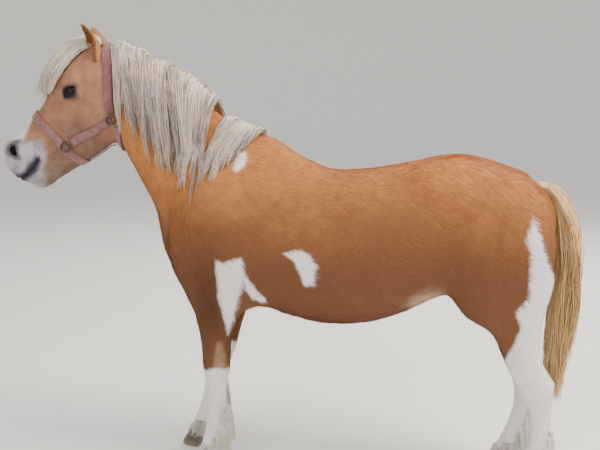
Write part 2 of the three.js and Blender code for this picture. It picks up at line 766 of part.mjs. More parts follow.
// Nostrils: comma-shaped pits on either side of the muzzle's end
const nostrils = [-1, 1].map((side) => {
  const inner = headPoint(404, 10, side * 10);
  const surface = leave(flesh, inner, [0, side, 0], 200);
  const pit = new THREE.SphereGeometry(1, 10, 8);
  pit.scale(8.5, 13, 13);
  const along = vec(HEAD_AXIS[0], 0.5, HEAD_AXIS[1]);
  const frame = frameAt(vec(...surface), vec(-0.5, side, 0), along);
  return turned(placed(pit, new THREE.Matrix4().makeRotationZ(side * 0.5), frame));
});

// The line of the mouth: a curved blade from side to side that leaves the core of the muzzle whole
function mouthCut() {
  const line = [
    [374, -70],
    [396, -76],
    [424, -77],
    [450, -70],
    [482, -56],
  ];
  const edge = (shift) => line.map(([along, off]) => headPoint(along, off + shift));
  const outline = [...edge(1.3), ...edge(-1.3).reverse()];
  const shape = new THREE.Shape(outline.map(([x, , z]) => new THREE.Vector2(x, z)));
  const blade = new THREE.ExtrudeGeometry(shape, { depth: 140, bevelEnabled: false });
  blade.rotateX(Math.PI / 2);
  blade.translate(0, 70, 0);
  const rings = ticks(345, 456, 28).map((along) => {
    const [, low, high] = headStations(along);
    return { at: headPoint(along, mix(low, high, 0.5)), up: [HEAD_AXIS[1], 0, -HEAD_AXIS[0]] };
  });
  const core = standOff(fleshRings(rings, 10, 120), flesh, -7);
  return turned(placed(blade)).subtract(turned(core));
}

// An ear: a cupped leaf that opens forwards and outwards
const EAR_BOW = 5; // how far the leaf bows back
function ear(side, grow = 0) {
  const root = vec(-791, side * 48, 1222);
  const tip = vec(-836, side * 66, 1340);
  const length = root.distanceTo(tip);
  const up = tip.clone().sub(root).normalize();
  const opening = vec(-0.75, side * 0.55, 0);
  const forward = opening.sub(up.clone().multiplyScalar(opening.dot(up))).normalize();
  const sideways = up.clone().cross(forward);
  const rings = ticks(0, 1, 1 / 8).map((t) => {
    const wide = 4 + 21 * Math.sin(Math.PI * Math.min(0.18 + 0.82 * t, 1)) ** 0.8;
    const radius = (t > 0.99 ? 1.4 : wide) + grow;
    const wrap = mix(2.5, 1.35, smooth(t * 1.4));
    const thick = Math.min(4, radius * 0.5) + 2 * grow;
    const bow = -EAR_BOW * Math.sin(Math.PI * t);
    const middle = root.clone().addScaledVector(up, length * t).addScaledVector(forward, bow);
    const arc = (r, count, sign) =>
      Array.from({ length: count }, (_, i) => {
        const a = sign * wrap * (1 - (2 * i) / (count - 1));
        const point = middle.clone().addScaledVector(forward, -Math.cos(a) * r * 0.8);
        return point.addScaledVector(sideways, Math.sin(a) * r).toArray();
      });
    return [...arc(radius, 8, 1), ...arc(radius - thick, 6, -1)];
  });
  return stack(rings);
}

// Long hair. A lock is a flat tapered band with a four-sided section.
function lock({ route, normals, width, thick, blunt = 0.62 }) {
  const last = route.length - 1;
  const rings = route.map((point, i) => {
    const t = i / last;
    const before = vec(...route[Math.max(0, i - 1)]);
    const tangent = vec(...route[Math.min(last, i + 1)]).sub(before).normalize();
    const out = vec(...normals[i]);
    out.addScaledVector(tangent, -out.dot(tangent)).normalize();
    const sideways = out.clone().cross(tangent);
    const full = Math.min(1, 0.7 + 1.2 * t) * Math.max(1 - t, 0) ** blunt;
    const half = Math.max((width / 2) * full, 0.5);
    const deep = Math.max((thick / 2) * Math.max(full, 0.25) * (t < 1 ? 1 : 0), 0.5);
    const at = (a, b) => vec(...point).addScaledVector(sideways, a).addScaledVector(out, b).toArray();
    return [at(half, 0), at(0, deep), at(-half, 0), at(0, -deep)];
  });
  return stack(rings);
}

// A route that starts inside the flesh, bends towards its fall and stays outside the field
function drape({ root, heading, fall, length, steps, bend, lift, sink = 12, cling = 0, field = flesh }) {
  const normal = outwardAt(field, root);
  const route = [vec(...root).addScaledVector(normal, -sink).toArray()];
  const normals = [normal.toArray()];
  let p = vec(...settle(field, root, lift(0)));
  let h = vec(...heading).normalize();
  let out = normal;
  for (let i = 1; i <= steps; i += 1) {
    route.push(p.toArray());
    normals.push(out.toArray());
    h = h.multiplyScalar(1 - bend).addScaledVector(vec(...fall).normalize(), bend).normalize();
    p = p.clone().addScaledVector(h, length / steps);
    const want = lift(i / steps);
    const f = field(...p.toArray());
    if (f < want) p = vec(...settle(field, p.toArray(), want, 2));
    else if (cling > 0) p = vec(...settle(field, p.toArray(), mix(f, want, cling), 2));
    if (f < 60) out = outwardAt(field, p.toArray());
  }
  route.push(p.toArray());
  normals.push(out.toArray());
  return { route, normals };
}

// The mane hangs on the left of the crest, drawn together below, with a gap before the withers.
const MANE = { front: -700, rear: -300, gap: [0.79, 0.86], width: 50, thick: 14 };
const maneFront = (t) => mix(0.86, 1, smooth(t / 0.3));
const maneLength = (t) =>
  t < MANE.gap[0] ? mix(400, 300, t ** 2) * maneFront(t) : mix(300, 110, (t - MANE.gap[1]) / 0.14);
const maneDrift = (t) => mix(0.24, -0.55, t ** 1.5);
const maneRise = (t) => 8 + 14 * Math.sin(Math.PI * Math.min(t / 0.8, 1));

function crestPoint(x, side) {
  const [, , z] = leave(flesh, [x, 0, mix(1090, 940, (x + 700) / 400)], [0, 0, 1], 400);
  return settle(flesh, [x, side * 6, z]);
}

function maneLocks() {
  const roll = dice(7);
  const locks = [];
  const layers = [
    { count: 10, lift: 3, side: -1, share: 1, steps: 5 },
    { count: 11, lift: 9, side: -1, share: 0.92, steps: 5 },
    { count: 7, lift: 4, side: 1, share: 0.5, steps: 3 },
  ];
  for (const { count, lift, side, share, steps } of layers) {
    for (let i = 0; i < count; i += 1) {
      const t = (i + (lift > 5 ? 0 : 0.5)) / count;
      if (t > MANE.gap[0] && t < MANE.gap[1]) continue;
      const root = crestPoint(mix(MANE.front, MANE.rear, t) + roll(-4, 4), side);
      const length = maneLength(t) * share * roll(0.88, 1.08);
      const drift = side < 0 ? maneDrift(t) : mix(0.45, -0.1, t);
      const rise = maneRise(t);
      const fall = [drift + roll(-0.05, 0.05), 0, -1];
      const path = { root, heading: [0, side, 0.45], fall, length, steps, bend: 0.5 };
      const { route, normals } = drape({ ...path, lift: (s) => mix(lift + rise, lift, smooth(2 * s)) });
      locks.push(lock({ route, normals, width: MANE.width * roll(0.85, 1.1), thick: MANE.thick }));
    }
  }
  return locks;
}

// The core of the mane: a low roll along the crest that the locks spring from
function maneCore() {
  const rings = ticks(MANE.front, MANE.rear, (MANE.rear - MANE.front) / 9).map((x, i, all) => {
    const t = i / (all.length - 1);
    const radius = mix(18, 11, t) * (i === 0 || i === all.length - 1 ? 0.4 : 1);
    const [, , z] = crestPoint(x, 0);
    return Array.from({ length: 8 }, (_, j) => {
      const a = (2 * Math.PI * j) / 8;
      return [x, radius * Math.cos(a), z + 0.8 * maneRise(t) - 3 + radius * Math.sin(a)];
    });
  });
  return stack(rings);
}

// The forelock falls from between the ears over the forehead.
function forelockLocks() {
  const roll = dice(23);
  const spread = [-19, -6, 6, 19, -11, 11];
  return spread.map((y, i) => {
    const root = settle(flesh, headPoint(-18 + (i % 3) * 6, 30, y));
    const fall = [HEAD_AXIS[0], y * 0.008 + roll(-0.06, 0.06), HEAD_AXIS[1]];
    const length = 245 * (1 - Math.abs(y) / 110) * roll(0.9, 1.05);
    const lift = (t) => (i > 3 ? 47 : 20) * Math.sin(Math.PI * Math.min(0.25 + 0.6 * t, 0.8));
    const path = { root, heading: [-1, y * 0.012, 0.35], fall, length, steps: 4, bend: 0.5, cling: 0.85 };
    const { route, normals } = drape({ ...path, lift });
    return lock({ route, normals, width: 32, thick: 26 });
  });
}

// The tail: a bony dock that long locks leave on every side and hide
const DOCK = [
  [496, 0, 872],
  [538, 0, 868],
  [562, 0, 828],
  [572, 0, 768],
  [574, 0, 700],
];
const dockCurve = new THREE.CatmullRomCurve3(DOCK.map((p) => vec(...p)));
const dockRadius = (t) => mix(27, 11, t);

function dock() {
  const rings = ticks(0, 1, 1 / 8).map((t) => {
    const at = dockCurve.getPoint(t);
    const tangent = dockCurve.getTangent(t);
    const out = vec(0, 1, 0).cross(tangent).normalize();
    return Array.from({ length: 10 }, (_, j) => {
      const a = (2 * Math.PI * j) / 10;
      const beside = vec(...ACROSS).multiplyScalar(dockRadius(t) * Math.sin(a));
      return at.clone().addScaledVector(out, dockRadius(t) * Math.cos(a)).add(beside).toArray();
    });
  });
  return stack(rings);
}

const TAIL = { locks: 19, width: 50, thick: 20 };
const TAIL_DEPTH = { front: 556, back: 612 }; // the tail hangs between these

function tailLocks() {
  const roll = dice(41);
  return Array.from({ length: TAIL.locks }, (_, i) => {
    const t = mix(0.12, 1, ((i * 7) % TAIL.locks) / TAIL.locks);
    const around = ((i * 2.4) % (2 * Math.PI)) - Math.PI;
    const at = dockCurve.getPoint(t);
    const tangent = dockCurve.getTangent(t);
    const out = vec(0, 1, 0).cross(tangent).normalize().multiplyScalar(Math.abs(Math.cos(around)) + 0.1);
    if (out.x < 0) out.multiplyScalar(-1);
    out.addScaledVector(vec(0, 1, 0), Math.sin(around)).normalize();
    const length = (at.z - 250) * roll(0.74, 1);
    const steps = 4;
    const route = [at.toArray()];
    const normals = [out.toArray()];
    let h = out.clone().multiplyScalar(0.35).add(tangent).normalize();
    let p = at.clone().addScaledVector(out, dockRadius(t) * 0.7);
    for (let k = 1; k <= steps; k += 1) {
      route.push(p.toArray());
      normals.push(out.toArray());
      const inward = k < 3 ? 0.06 : -0.07;
      const fall = vec(roll(-0.05, 0), inward * Math.sin(around), -1).normalize();
      h = h.multiplyScalar(0.45).addScaledVector(fall, 0.55).normalize();
      p = p.clone().addScaledVector(h, length / steps);
      const back = mix(TAIL_DEPTH.back, TAIL_DEPTH.back - 30, smooth((520 - p.z) / 260));
      const front = mix(TAIL_DEPTH.front, TAIL_DEPTH.front - 28, smooth((640 - p.z) / 200));
      p.x = Math.min(Math.max(p.x, front), back);
    }
    route.push(p.toArray());
    normals.push(out.toArray());
    return lock({ route, normals, width: TAIL.width * roll(0.8, 1.1), thick: TAIL.thick, blunt: 0.5 });
  });
}

// Feather: short locks down the back of each fetlock and over the hoof's upper edge
function featherLocks(leg) {
  const roll = dice(leg.fore ? 61 : 67);
  const at = stations(leg.rows);
  const rows = [
    { z: 166, count: 3, spread: 0.95, length: 76 },
    { z: 120, count: 3, spread: 1, length: 70 },
    { z: 66, count: 5, spread: 2.6, length: 34 },
  ];
  return rows.flatMap(({ z, count, spread, length }) =>
    Array.from({ length: count }, (_, i) => {
      const a = mix(-spread, spread, i / (count - 1)) + roll(-0.08, 0.08);
      const [, front, back, half] = at(z);
      const middle = mix(front, back, 0.5) + leg.slide(z);
      const ray = [Math.cos(a), Math.sin(a), 0];
      const root = leave(flesh, [middle, leg.middle(z), z], ray, 150);
      const fall = [0.12 * Math.cos(a) - (z < 80 ? 0.25 : 0), 0.1 * Math.sin(a), -1];
      const heading = [ray[0] * 0.15, ray[1] * 0.15, -1];
      const width = half * 1.45;
      const path = { root, heading, fall, length: length * roll(0.85, 1.1), steps: 2, bend: 0.5, sink: 9 };
      const { route, normals } = drape({ ...path, lift: (s) => mix(3, 6, s) });
      return lock({ route, normals, width, thick: 15, blunt: 0.4 });
    }),
  );
}

// A hoof: a sloping wall on a flat sole, wider in front than at the heel
function hoof(leg, grow = 0) {
  const x = leg.fore ? FORE_HOOF_X : HIND_HOOF_X;
  const y = leg.side * leg.footY;
  const levels = [
    { z: 0, shift: -18, long: 51, wide: 42 },
    { z: 5, shift: -18, long: 52, wide: 43 },
    { z: 30, shift: -8, long: 48, wide: 40 },
    { z: 62, shift: 4, long: 44, wide: 36 },
  ];
  const rings = levels.map(({ z, shift, long, wide }) =>
    Array.from({ length: 14 }, (_, j) => {
      const a = (2 * Math.PI * j) / 14;
      const narrow = 1 - 0.14 * Math.max(Math.cos(a), 0);
      const heel = Math.cos(a) > 0 ? 0.86 : 1;
      const reach = [long * heel + grow, wide * narrow + grow];
      return [x + leg.step + shift + reach[0] * Math.cos(a), y + reach[1] * Math.sin(a), z];
    }),
  );
  return turned(stack(rings));
}

// The coronet plane, higher at the toe
function coronet(leg, direction, offset = GAP / 2) {
  const x = (leg.fore ? FORE_HOOF_X : HIND_HOOF_X) + leg.step;
  const rise = (CORONET.toe - CORONET.heel) / 95;
  const up = vec(rise, 0, 1).normalize();
  const middle = (CORONET.toe + CORONET.heel) / 2 + direction * offset;
  return sideOf([x, middle], [direction * up.x, direction * up.z]);
}

// The halter. Straps follow the head by distance from the poll and by angle from the face round to
// the left, and are shaped by cutting a copy of the head that stands off a little.
function headSpot(along, angle) {
  const [, low, high] = headStations(along);
  const from = headPoint(along, mix(low, high, 0.5));
  const up = [HEAD_AXIS[1], 0, -HEAD_AXIS[0]];
  const ray = up.map((c, k) => c * Math.cos(angle) - ACROSS[k] * Math.sin(angle));
  const point = leave((x, y, z) => Math.max(flesh(x, y, z), x - HEAD_CUT_X), from, ray, 300);
  return { point: vec(...point), out: outwardAt(flesh, point) };
}

function strapRings(spots, width, closed, grow) {
  const count = spots.length;
  return spots.map(({ point, out }, i) => {
    const before = spots[closed ? (i + count - 1) % count : Math.max(i - 1, 0)].point;
    const after = spots[closed ? (i + 1) % count : Math.min(i + 1, count - 1)].point;
    const tangent = after.clone().sub(before).normalize();
    const normal = out.clone().addScaledVector(tangent, -out.dot(tangent)).normalize();
    const sideways = normal.clone().cross(tangent).multiplyScalar(width / 2 + grow);
    const top = GAP + STRAP_THICK + grow;
    const at = (s, n) => point.clone().addScaledVector(sideways, s).addScaledVector(normal, n).toArray();
    return [at(1, top), at(-1, top), at(-1, -9), at(1, -9)];
  });
}

function strap({ spots, width = STRAP_WIDTH, closed = false }) {
  const make = (grow) => turned((closed ? hoop : stack)(strapRings(spots, width, closed, grow)));
  return { body: make(0), clear: make(GAP) };
}

const angleLine = (from, to, count) =>
  ticks(0, 1, 1 / count).map((t) => headSpot(mix(from[0], to[0], t), mix(from[1], to[1], t)));
const degrees = THREE.MathUtils.degToRad;

const NOSEBAND = { face: 282, jaw: 300 };
const noseband = strap({
  closed: true,
  spots: Array.from({ length: 22 }, (_, i) => {
    const a = (2 * Math.PI * i) / 22;
    return headSpot(mix(NOSEBAND.face, NOSEBAND.jaw, (1 - Math.cos(a)) / 2), a);
  }),
});
const RING_CLEAR = 20; // how far from the lower ring's middle the cheek strap starts
const RING_PLACES = { lower: [290, degrees(124)], upper: [134, degrees(140)] };
const mirrored = ([along, angle], side) => [along, -side * angle];
const cheekStrap = (side) => {
  const clearOfRings = (from, to) => {
    const t = RING_CLEAR / Math.abs(from[0] - to[0]);
    return [mix(from[0], to[0], t), mix(from[1], to[1], t)];
  };
  const low = mirrored(RING_PLACES.lower, side);
  const high = mirrored(RING_PLACES.upper, side);
  return strap({ spots: angleLine(clearOfRings(low, high), high, 7) });
};
const crown = strap({
  spots: [
    ...angleLine([120, degrees(134)], [24, degrees(88)], 6).slice(0, -1),
    ...angleLine([24, degrees(88)], [-22, degrees(45)], 3).slice(0, -1),
    ...angleLine([-22, degrees(45)], [-22, degrees(-45)], 6).slice(0, -1),
    ...angleLine([-22, degrees(-45)], [24, degrees(-88)], 3).slice(0, -1),
    ...angleLine([24, degrees(-88)], [120, degrees(-134)], 6),
  ],
});

const THROAT_X = HEAD_CUT_X - 16; // the throat strap hangs in this upright plane
const throatSpot = (angle) => {
  const point = leave(flesh, [THROAT_X, 0, 1110], [0, -Math.sin(angle), Math.cos(angle)], 200);
  return { point: vec(...point), out: outwardAt(flesh, point) };
};
const throatStrap = strap({
  spots: ticks(137, 223, 11).map((angle) => throatSpot(degrees(angle))),
  width: 20,
});
const jawStrap = strap({ spots: angleLine([285, degrees(180)], [198, degrees(180)], 6), width: 22 });

// A flat ring of wire that lies on the straps where they meet
function ring([along, angle]) {
  const { point, out } = headSpot(along, angle);
  const middle = point.clone().addScaledVector(out, GAP + STRAP_THICK + RING.wire + 1.2);
  const frame = frameAt(middle, out, vec(HEAD_AXIS[0], 0, HEAD_AXIS[1]));
  const make = (wire) => turned(placed(new THREE.TorusGeometry(RING.radius, wire, 5, 10), frame));
  return { body: make(RING.wire), clear: make(RING.wire + GAP) };
}

const halter = {
  halter_noseband: noseband,
  halter_cheek_left: cheekStrap(-1),
  halter_cheek_right: cheekStrap(1),
  halter_crown: crown,
  halter_throat_strap: throatStrap,
  halter_jaw_strap: jawStrap,
};
const halterRings = {
  halter_ring_left: ring(mirrored(RING_PLACES.lower, -1)),
  halter_ring_right: ring(mirrored(RING_PLACES.lower, 1)),
  halter_upper_ring_left: ring(mirrored(RING_PLACES.upper, -1)),
  halter_upper_ring_right: ring(mirrored(RING_PLACES.upper, 1)),
};

// Edges shorter than these are drawn together: in hair before it is cut clear, and after every cut
const SHORTEST_EDGE = { mane: 5, forelock: 4, tail: 4.5, feather: 2.5, face: 1.6, cut: 0.3 };
const tidied = (solid, shortest) =>
  largest(toSolid(touchingParted(withoutShortEdges(toGeometry(largest(solid)), shortest))));

// The parts, each a closed body that stands clear of its neighbours
const nodes = [];
const keep = (name, solid, color, roughness = 0.9, metalness = 0) =>
  nodes.push({ name, solid: tidied(solid, SHORTEST_EDGE.cut), color, roughness, metalness });

const headClear = turned(standOff(headSkin, flesh, GAP));
const neckClear = turned(standOff(neckSkin, flesh, GAP));
const torsoClear = turned(standOff(torsoSkin, flesh, GAP));
const LEGS_REACH = { fore: [-720, -285], hind: [290, 720], side: 320 }; // x from and to, and y either way
const legBlock = ([from, to], top) =>
  block([from, -LEGS_REACH.side, 0], [to, LEGS_REACH.side, top + GAP / 2]);
const torso = without(turned(torsoSkin).intersect(behindBase), [
  legBlock(LEGS_REACH.fore, FORE_CUT_Z),
  legBlock(LEGS_REACH.hind, HIND_CUT_Z),
]);
keep("torso", torso, CHESTNUT);

const straps = Object.values(halter);
const headBulk = turned(headSkin);
const strapsClear = straps.map((s) => s.clear.subtract(headBulk));
const ringsClear = Object.values(halterRings).map((r) => r.clear);

const neckFlesh = turned(neckSkin).intersect(aheadOfBase).intersect(pollCut(1));
const maneHair = joined([maneCore(), ...maneLocks()].map(turned));
const torsoBlock = torsoClear.intersect(sideOf(NECK_CUT.top, baseBehind));
const hairyNeck = tidied(neckFlesh.add(maneHair), SHORTEST_EDGE.mane);
keep("neck", without(hairyNeck, [torsoBlock, headClear.intersect(pollCut(-1)), ...strapsClear]), CHESTNUT);

const ears = [-1, 1].map((side) => turned(ear(side)));
const headFlesh = headBulk.intersect(pollCut(-1));
const lids = joined(eyes.map((eye) => eye.lid.subtract(eye.opening)));
const earsClear = [-1, 1].map((side) => turned(ear(side, 3 * GAP)).subtract(headBulk));
const looseForelock = tidied(joined(forelockLocks().map(turned)), SHORTEST_EDGE.forelock);
const forelock = without(looseForelock, [...strapsClear, ...earsClear]);
const hairyHead = tidied(joined([headFlesh, lids, forelock]), SHORTEST_EDGE.face);
const sockets = eyes.map((eye) => eye.socket);
keep("head", without(hairyHead, [...sockets, ...nostrils, mouthCut()]), CHESTNUT);
const earFoot = turned(standOff(headSkin, flesh, 2 * GAP));
ears.forEach((solid, i) => keep(i ? "ear_right" : "ear_left", solid.subtract(earFoot), CHESTNUT));
eyes.forEach((eye) => keep(eye.side < 0 ? "eye_left" : "eye_right", eye.ball, EYE_BROWN, 0.1));

for (const [name, leg] of Object.entries(LEGS)) {
  const top = (leg.fore ? FORE_CUT_Z : HIND_CUT_Z) - GAP / 2;
  const shank = turned(legSkin(leg)).intersect(block([-1000, -400, 0], [1000, 400, top]));
  const feather = joined(featherLocks(leg).map(turned));
  const feathered = tidied(shank.intersect(coronet(leg, 1)).add(feather), SHORTEST_EDGE.feather);
  const hoofClear = hoof(leg, GAP).intersect(coronet(leg, -1, -0.4 * GAP));
  keep(`leg_${name}`, feathered.subtract(hoofClear), WHITE_HAIR);
  keep(`hoof_${name}`, hoof(leg).intersect(coronet(leg, -1)), HORN, 0.6);
}

const tail = tidied(joined([dock(), ...tailLocks()].map(toSolid)), SHORTEST_EDGE.tail);
const hindClear = [LEGS.hind_left, LEGS.hind_right].map((leg) => turned(standOff(legSkin(leg), flesh, GAP)));
keep("tail", without(tail, [torsoClear, ...hindClear]), GOLDEN);

Object.entries(halter).forEach(([name, { body }], i) => {
  const before = straps.slice(0, i).map((s) => s.clear);
  keep(name, without(body, [headClear, neckClear, ...ringsClear, ...before]), ROSE, 0.8);
});
for (const [name, { body }] of Object.entries(halterRings)) {
  keep(name, body.subtract(headClear), STEEL, 0.35, 0.9);
}

// The finished parts, set with the middle of the whole over the origin and the soles on the floor
const pony = new THREE.Group();
for (const { name, solid, color, roughness, metalness } of nodes) {
  const geometry = toGeometry(solid);
  const material = new THREE.MeshStandardMaterial({ color, roughness, metalness });
  const mesh = new THREE.Mesh(geometry, material);
  mesh.name = name;
  pony.add(mesh);
}
const box = new THREE.Box3().setFromObject(pony);
const middle = box.getCenter(vec(0, 0, 0));
pony.position.set(-middle.x, -middle.y, -box.min.z);

const root = new THREE.Group();
root.add(pony);
export default root;
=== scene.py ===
"""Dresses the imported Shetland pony: one skin with its coat, long hair, eyes, hooves and halter.

The pony's shape is worked out in millimetres in the maker's frame, before its neck turns to the
left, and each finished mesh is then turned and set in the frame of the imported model, in metres.
"""

import json
import logging
import math
from dataclasses import dataclass
from enum import Enum
from typing import Callable, Iterable

import bmesh
import bpy
import numpy as np
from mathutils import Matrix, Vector

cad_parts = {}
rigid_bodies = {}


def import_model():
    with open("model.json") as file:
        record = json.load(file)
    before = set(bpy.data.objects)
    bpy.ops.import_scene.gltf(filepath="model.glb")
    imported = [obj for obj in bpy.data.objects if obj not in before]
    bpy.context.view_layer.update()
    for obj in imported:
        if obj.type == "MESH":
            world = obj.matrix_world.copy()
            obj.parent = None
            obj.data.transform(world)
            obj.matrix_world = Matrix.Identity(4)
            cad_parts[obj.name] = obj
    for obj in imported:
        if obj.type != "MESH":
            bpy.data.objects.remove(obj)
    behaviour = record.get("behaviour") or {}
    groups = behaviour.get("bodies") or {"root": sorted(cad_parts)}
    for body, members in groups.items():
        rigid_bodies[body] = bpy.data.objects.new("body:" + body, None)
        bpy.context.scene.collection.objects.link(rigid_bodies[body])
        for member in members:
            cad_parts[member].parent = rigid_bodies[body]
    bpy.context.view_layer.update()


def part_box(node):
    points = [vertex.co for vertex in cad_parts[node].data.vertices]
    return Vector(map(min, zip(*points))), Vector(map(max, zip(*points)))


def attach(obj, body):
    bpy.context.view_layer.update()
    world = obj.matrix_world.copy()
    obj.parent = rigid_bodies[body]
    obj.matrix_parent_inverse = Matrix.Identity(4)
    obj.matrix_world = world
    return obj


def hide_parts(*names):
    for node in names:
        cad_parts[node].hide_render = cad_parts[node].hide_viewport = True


log = logging.getLogger("pony")
Points = np.ndarray  # rows of x, y and z
Numbers = np.ndarray
Field = Callable[[Points], Numbers]
Piece = bpy.types.Object
Finish = bpy.types.Material

NECK_TURN = math.radians(11)
NECK_TURN_START = -400.0
NECK_TURN_END = -800.0
HEAD_START = -716.0  # where the head is parted from the neck
SHOULDER = ((-262, 1010), (-0.6794, 0.7337))  # a point and the direction of the cut before the trunk
HIP_Y = 104.0  # how far from the middle the legs leave the trunk
TOE_X = 428.0  # the left hind toe in the maker's frame

# The tables of sections: distance, lower edge, upper edge, half width, egg shape and squareness
TRUNK = (
    (-568, 680, 742, 40, 0, 2),
    (-554, 626, 800, 84, 0.05, 2),
    (-530, 568, 866, 116, 0.12, 2),
    (-494, 518, 930, 140, 0.22, 2),
    (-430, 512, 974, 160, 0.32, 2.05),
    (-350, 522, 992, 174, 0.36, 2.1),
    (-270, 500, 994, 188, 0.34, 2.15),
    (-190, 478, 956, 202, 0.24, 2.2),
    (-90, 463, 926, 216, 0.16, 2.25),
    (30, 473, 930, 222, 0.12, 2.3),
    (130, 505, 948, 216, 0.08, 2.3),
    (210, 545, 963, 206, 0.04, 2.3),
    (300, 578, 970, 196, 0, 2.3),
    (400, 608, 946, 180, 0, 2.3),
    (480, 660, 906, 146, 0.02, 2.2),
    (530, 716, 866, 98, 0.05, 2.1),
    (552, 756, 826, 50, 0, 2),
)
NECK_BASE = (-420, 860)
NECK_AXIS = (-0.764, 0.645)
NECK = (
    (-160, -276, 176, 150, 0.3, 2),
    (-60, -268, 184, 144, 0.34, 2),
    (0, -250, 178, 134, 0.36, 2),
    (60, -220, 170, 120, 0.34, 2.05),
    (130, -184, 165, 106, 0.3, 2.1),
    (200, -156, 162, 95, 0.26, 2.15),
    (280, -124, 156, 84, 0.2, 2.2),
    (360, -98, 142, 75, 0.14, 2.2),
    (440, -84, 120, 70, 0.1, 2.2),
    (520, -70, 92, 62, 0.05, 2.1),
    (560, -50, 66, 44, 0, 2),
)
POLL = (-790, 1275)
HEAD_AXIS = (-0.6445, -0.7646)
AHEAD = np.array([HEAD_AXIS[0], 0.0, HEAD_AXIS[1]])  # from poll to muzzle
UP = np.array([0.0, 0.0, 1.0])
RIGHT = np.array([0.0, 1.0, 0.0])
SIDES = ((-1, "left"), (1, "right"))
HEAD = (
    (-34, -84, -22, 34, 0, 2),
    (-14, -128, 0, 56, 0, 2),
    (20, -168, 22, 68, -0.06, 2.2),
    (60, -192, 37, 76, -0.16, 2.3),
    (105, -204, 43, 79, -0.2, 2.4),
    (150, -207, 43, 75, -0.2, 2.4),
    (200, -205, 37, 66, -0.12, 2.4),
    (250, -194, 31, 57, -0.04, 2.4),
    (305, -177, 30, 50, 0.02, 2.4),
    (350, -161, 34, 47, 0.04, 2.3),
    (390, -145, 37, 49, 0.02, 2.3),
    (415, -132, 35, 50, 0, 2.3),
    (440, -112, 26, 46, 0, 2.3),
    (458, -88, 10, 36, 0, 2.2),
    (468, -62, -14, 20, 0, 2),
)
FORE_LEG = (
    (6, -496, -400, 37, 0, 2),
    (62, -484, -392, 36, 0, 2),
    (98, -474, -392, 30, 0, 2),
    (130, -465, -384, 30, 0, 2),
    (158, -461, -377, 32, 0, 2.1),
    (190, -459, -386, 28, 0, 2.1),
    (250, -459, -389, 27, 0, 2.1),
    (292, -462, -384, 32, 0, 2.1),
    (330, -468, -377, 38, 0, 2.2),
    (362, -469, -375, 39, 0, 2.2),
    (400, -472, -372, 40, 0, 2.1),
    (450, -482, -362, 45, 0, 2),
    (500, -494, -346, 54, 0, 2),
    (550, -512, -328, 62, 0, 2),
    (620, -532, -312, 68, 0, 2),
    (700, -545, -316, 62, 0, 2),
    (790, -520, -330, 44, 0, 2),
    (860, -470, -340, 20, 0, 2),
)
HIND_LEG = (
    (6, 440, 540, 37, 0, 2),
    (62, 456, 548, 36, 0, 2),
    (98, 470, 552, 30, 0, 2),
    (130, 482, 558, 30, 0, 2),
    (158, 490, 562, 32, 0, 2.1),
    (190, 495, 557, 28, 0, 2.1),
    (244, 494, 556, 28, 0, 2.1),
    (284, 480, 558, 33, 0, 2.2),
    (316, 462, 560, 37, 0.05, 2.2),
    (344, 446, 561, 38, 0.1, 2.2),
    (368, 433, 546, 39, 0.12, 2.1),
    (400, 418, 529, 43, 0.1, 2),
    (450, 396, 522, 54, 0.06, 2),
    (500, 362, 524, 68, 0.02, 2),
    (552, 318, 533, 80, 0, 2.1),
    (610, 276, 546, 90, 0, 2.2),
    (680, 256, 552, 96, 0, 2.2),
    (760, 250, 550, 94, 0, 2.2),
    (840, 262, 524, 80, 0, 2.1),
    (910, 300, 470, 44, 0, 2),
)
BLEND = {"neck": 110.0, "head": 44.0, "fore": 56.0, "hind": 52.0, "muscle": 60.0, "face": 22.0}


def smooth(t: Numbers) -> Numbers:
    """Eases from 0 to 1 and holds outside."""
    c = np.clip(t, 0, 1)
    return c * c * (3 - 2 * c)


def mix(a: Numbers, b: Numbers, t: Numbers) -> Numbers:
    """Goes from a to b in proportion t."""
    return a + (b - a) * t


def unit(v: Points) -> Points:
    """Scales each row to a length of one."""
    return v / np.maximum(np.linalg.norm(v, axis=-1, keepdims=True), 1e-12)


def across(v: Points, normal: Points) -> Points:
    """The part of each row that lies square to its normal, as a unit row."""
    return unit(v - normal * np.sum(v * normal, axis=-1, keepdims=True))


def rows(*parts: Numbers) -> Points:
    """Numbers side by side, as one row for each point."""
    return np.stack(np.broadcast_arrays(*parts), axis=-1)


def bell(distance: Numbers, width: float) -> Numbers:
    """Falls from 1 at no distance to nearly 0 at twice the width."""
    return np.exp(-((distance / width) ** 2))


def line_distance(x: Numbers, z: Numbers, corners: Iterable[tuple[float, float]]) -> Numbers:
    """How far points of the upright plane lie from a line through corners."""
    line = np.array(corners, float)
    best = np.full(len(x), 1e9)
    for (ax, az), (bx, bz) in zip(line[:-1], line[1:]):
        dx, dz = bx - ax, bz - az
        t = np.clip(((x - ax) * dx + (z - az) * dz) / (dx * dx + dz * dz), 0, 1)
        best = np.minimum(best, np.hypot(x - ax - t * dx, z - az - t * dz))
    return best


def head_point(along: float, off: float, side: float = 0.0) -> Points:
    """A point by its distance from poll to muzzle and its height off that axis."""
    x = POLL[0] + along * HEAD_AXIS[0] + off * HEAD_AXIS[1]
    return np.array([x, side, POLL[1] + along * HEAD_AXIS[1] - off * HEAD_AXIS[0]])


def head_place(p: Points) -> tuple[Numbers, Numbers]:
    """How far along the head points lie, and how far off its axis towards the face."""
    dx, dz = p[:, 0] - POLL[0], p[:, 2] - POLL[1]
    return dx * HEAD_AXIS[0] + dz * HEAD_AXIS[1], dx * HEAD_AXIS[1] - dz * HEAD_AXIS[0]


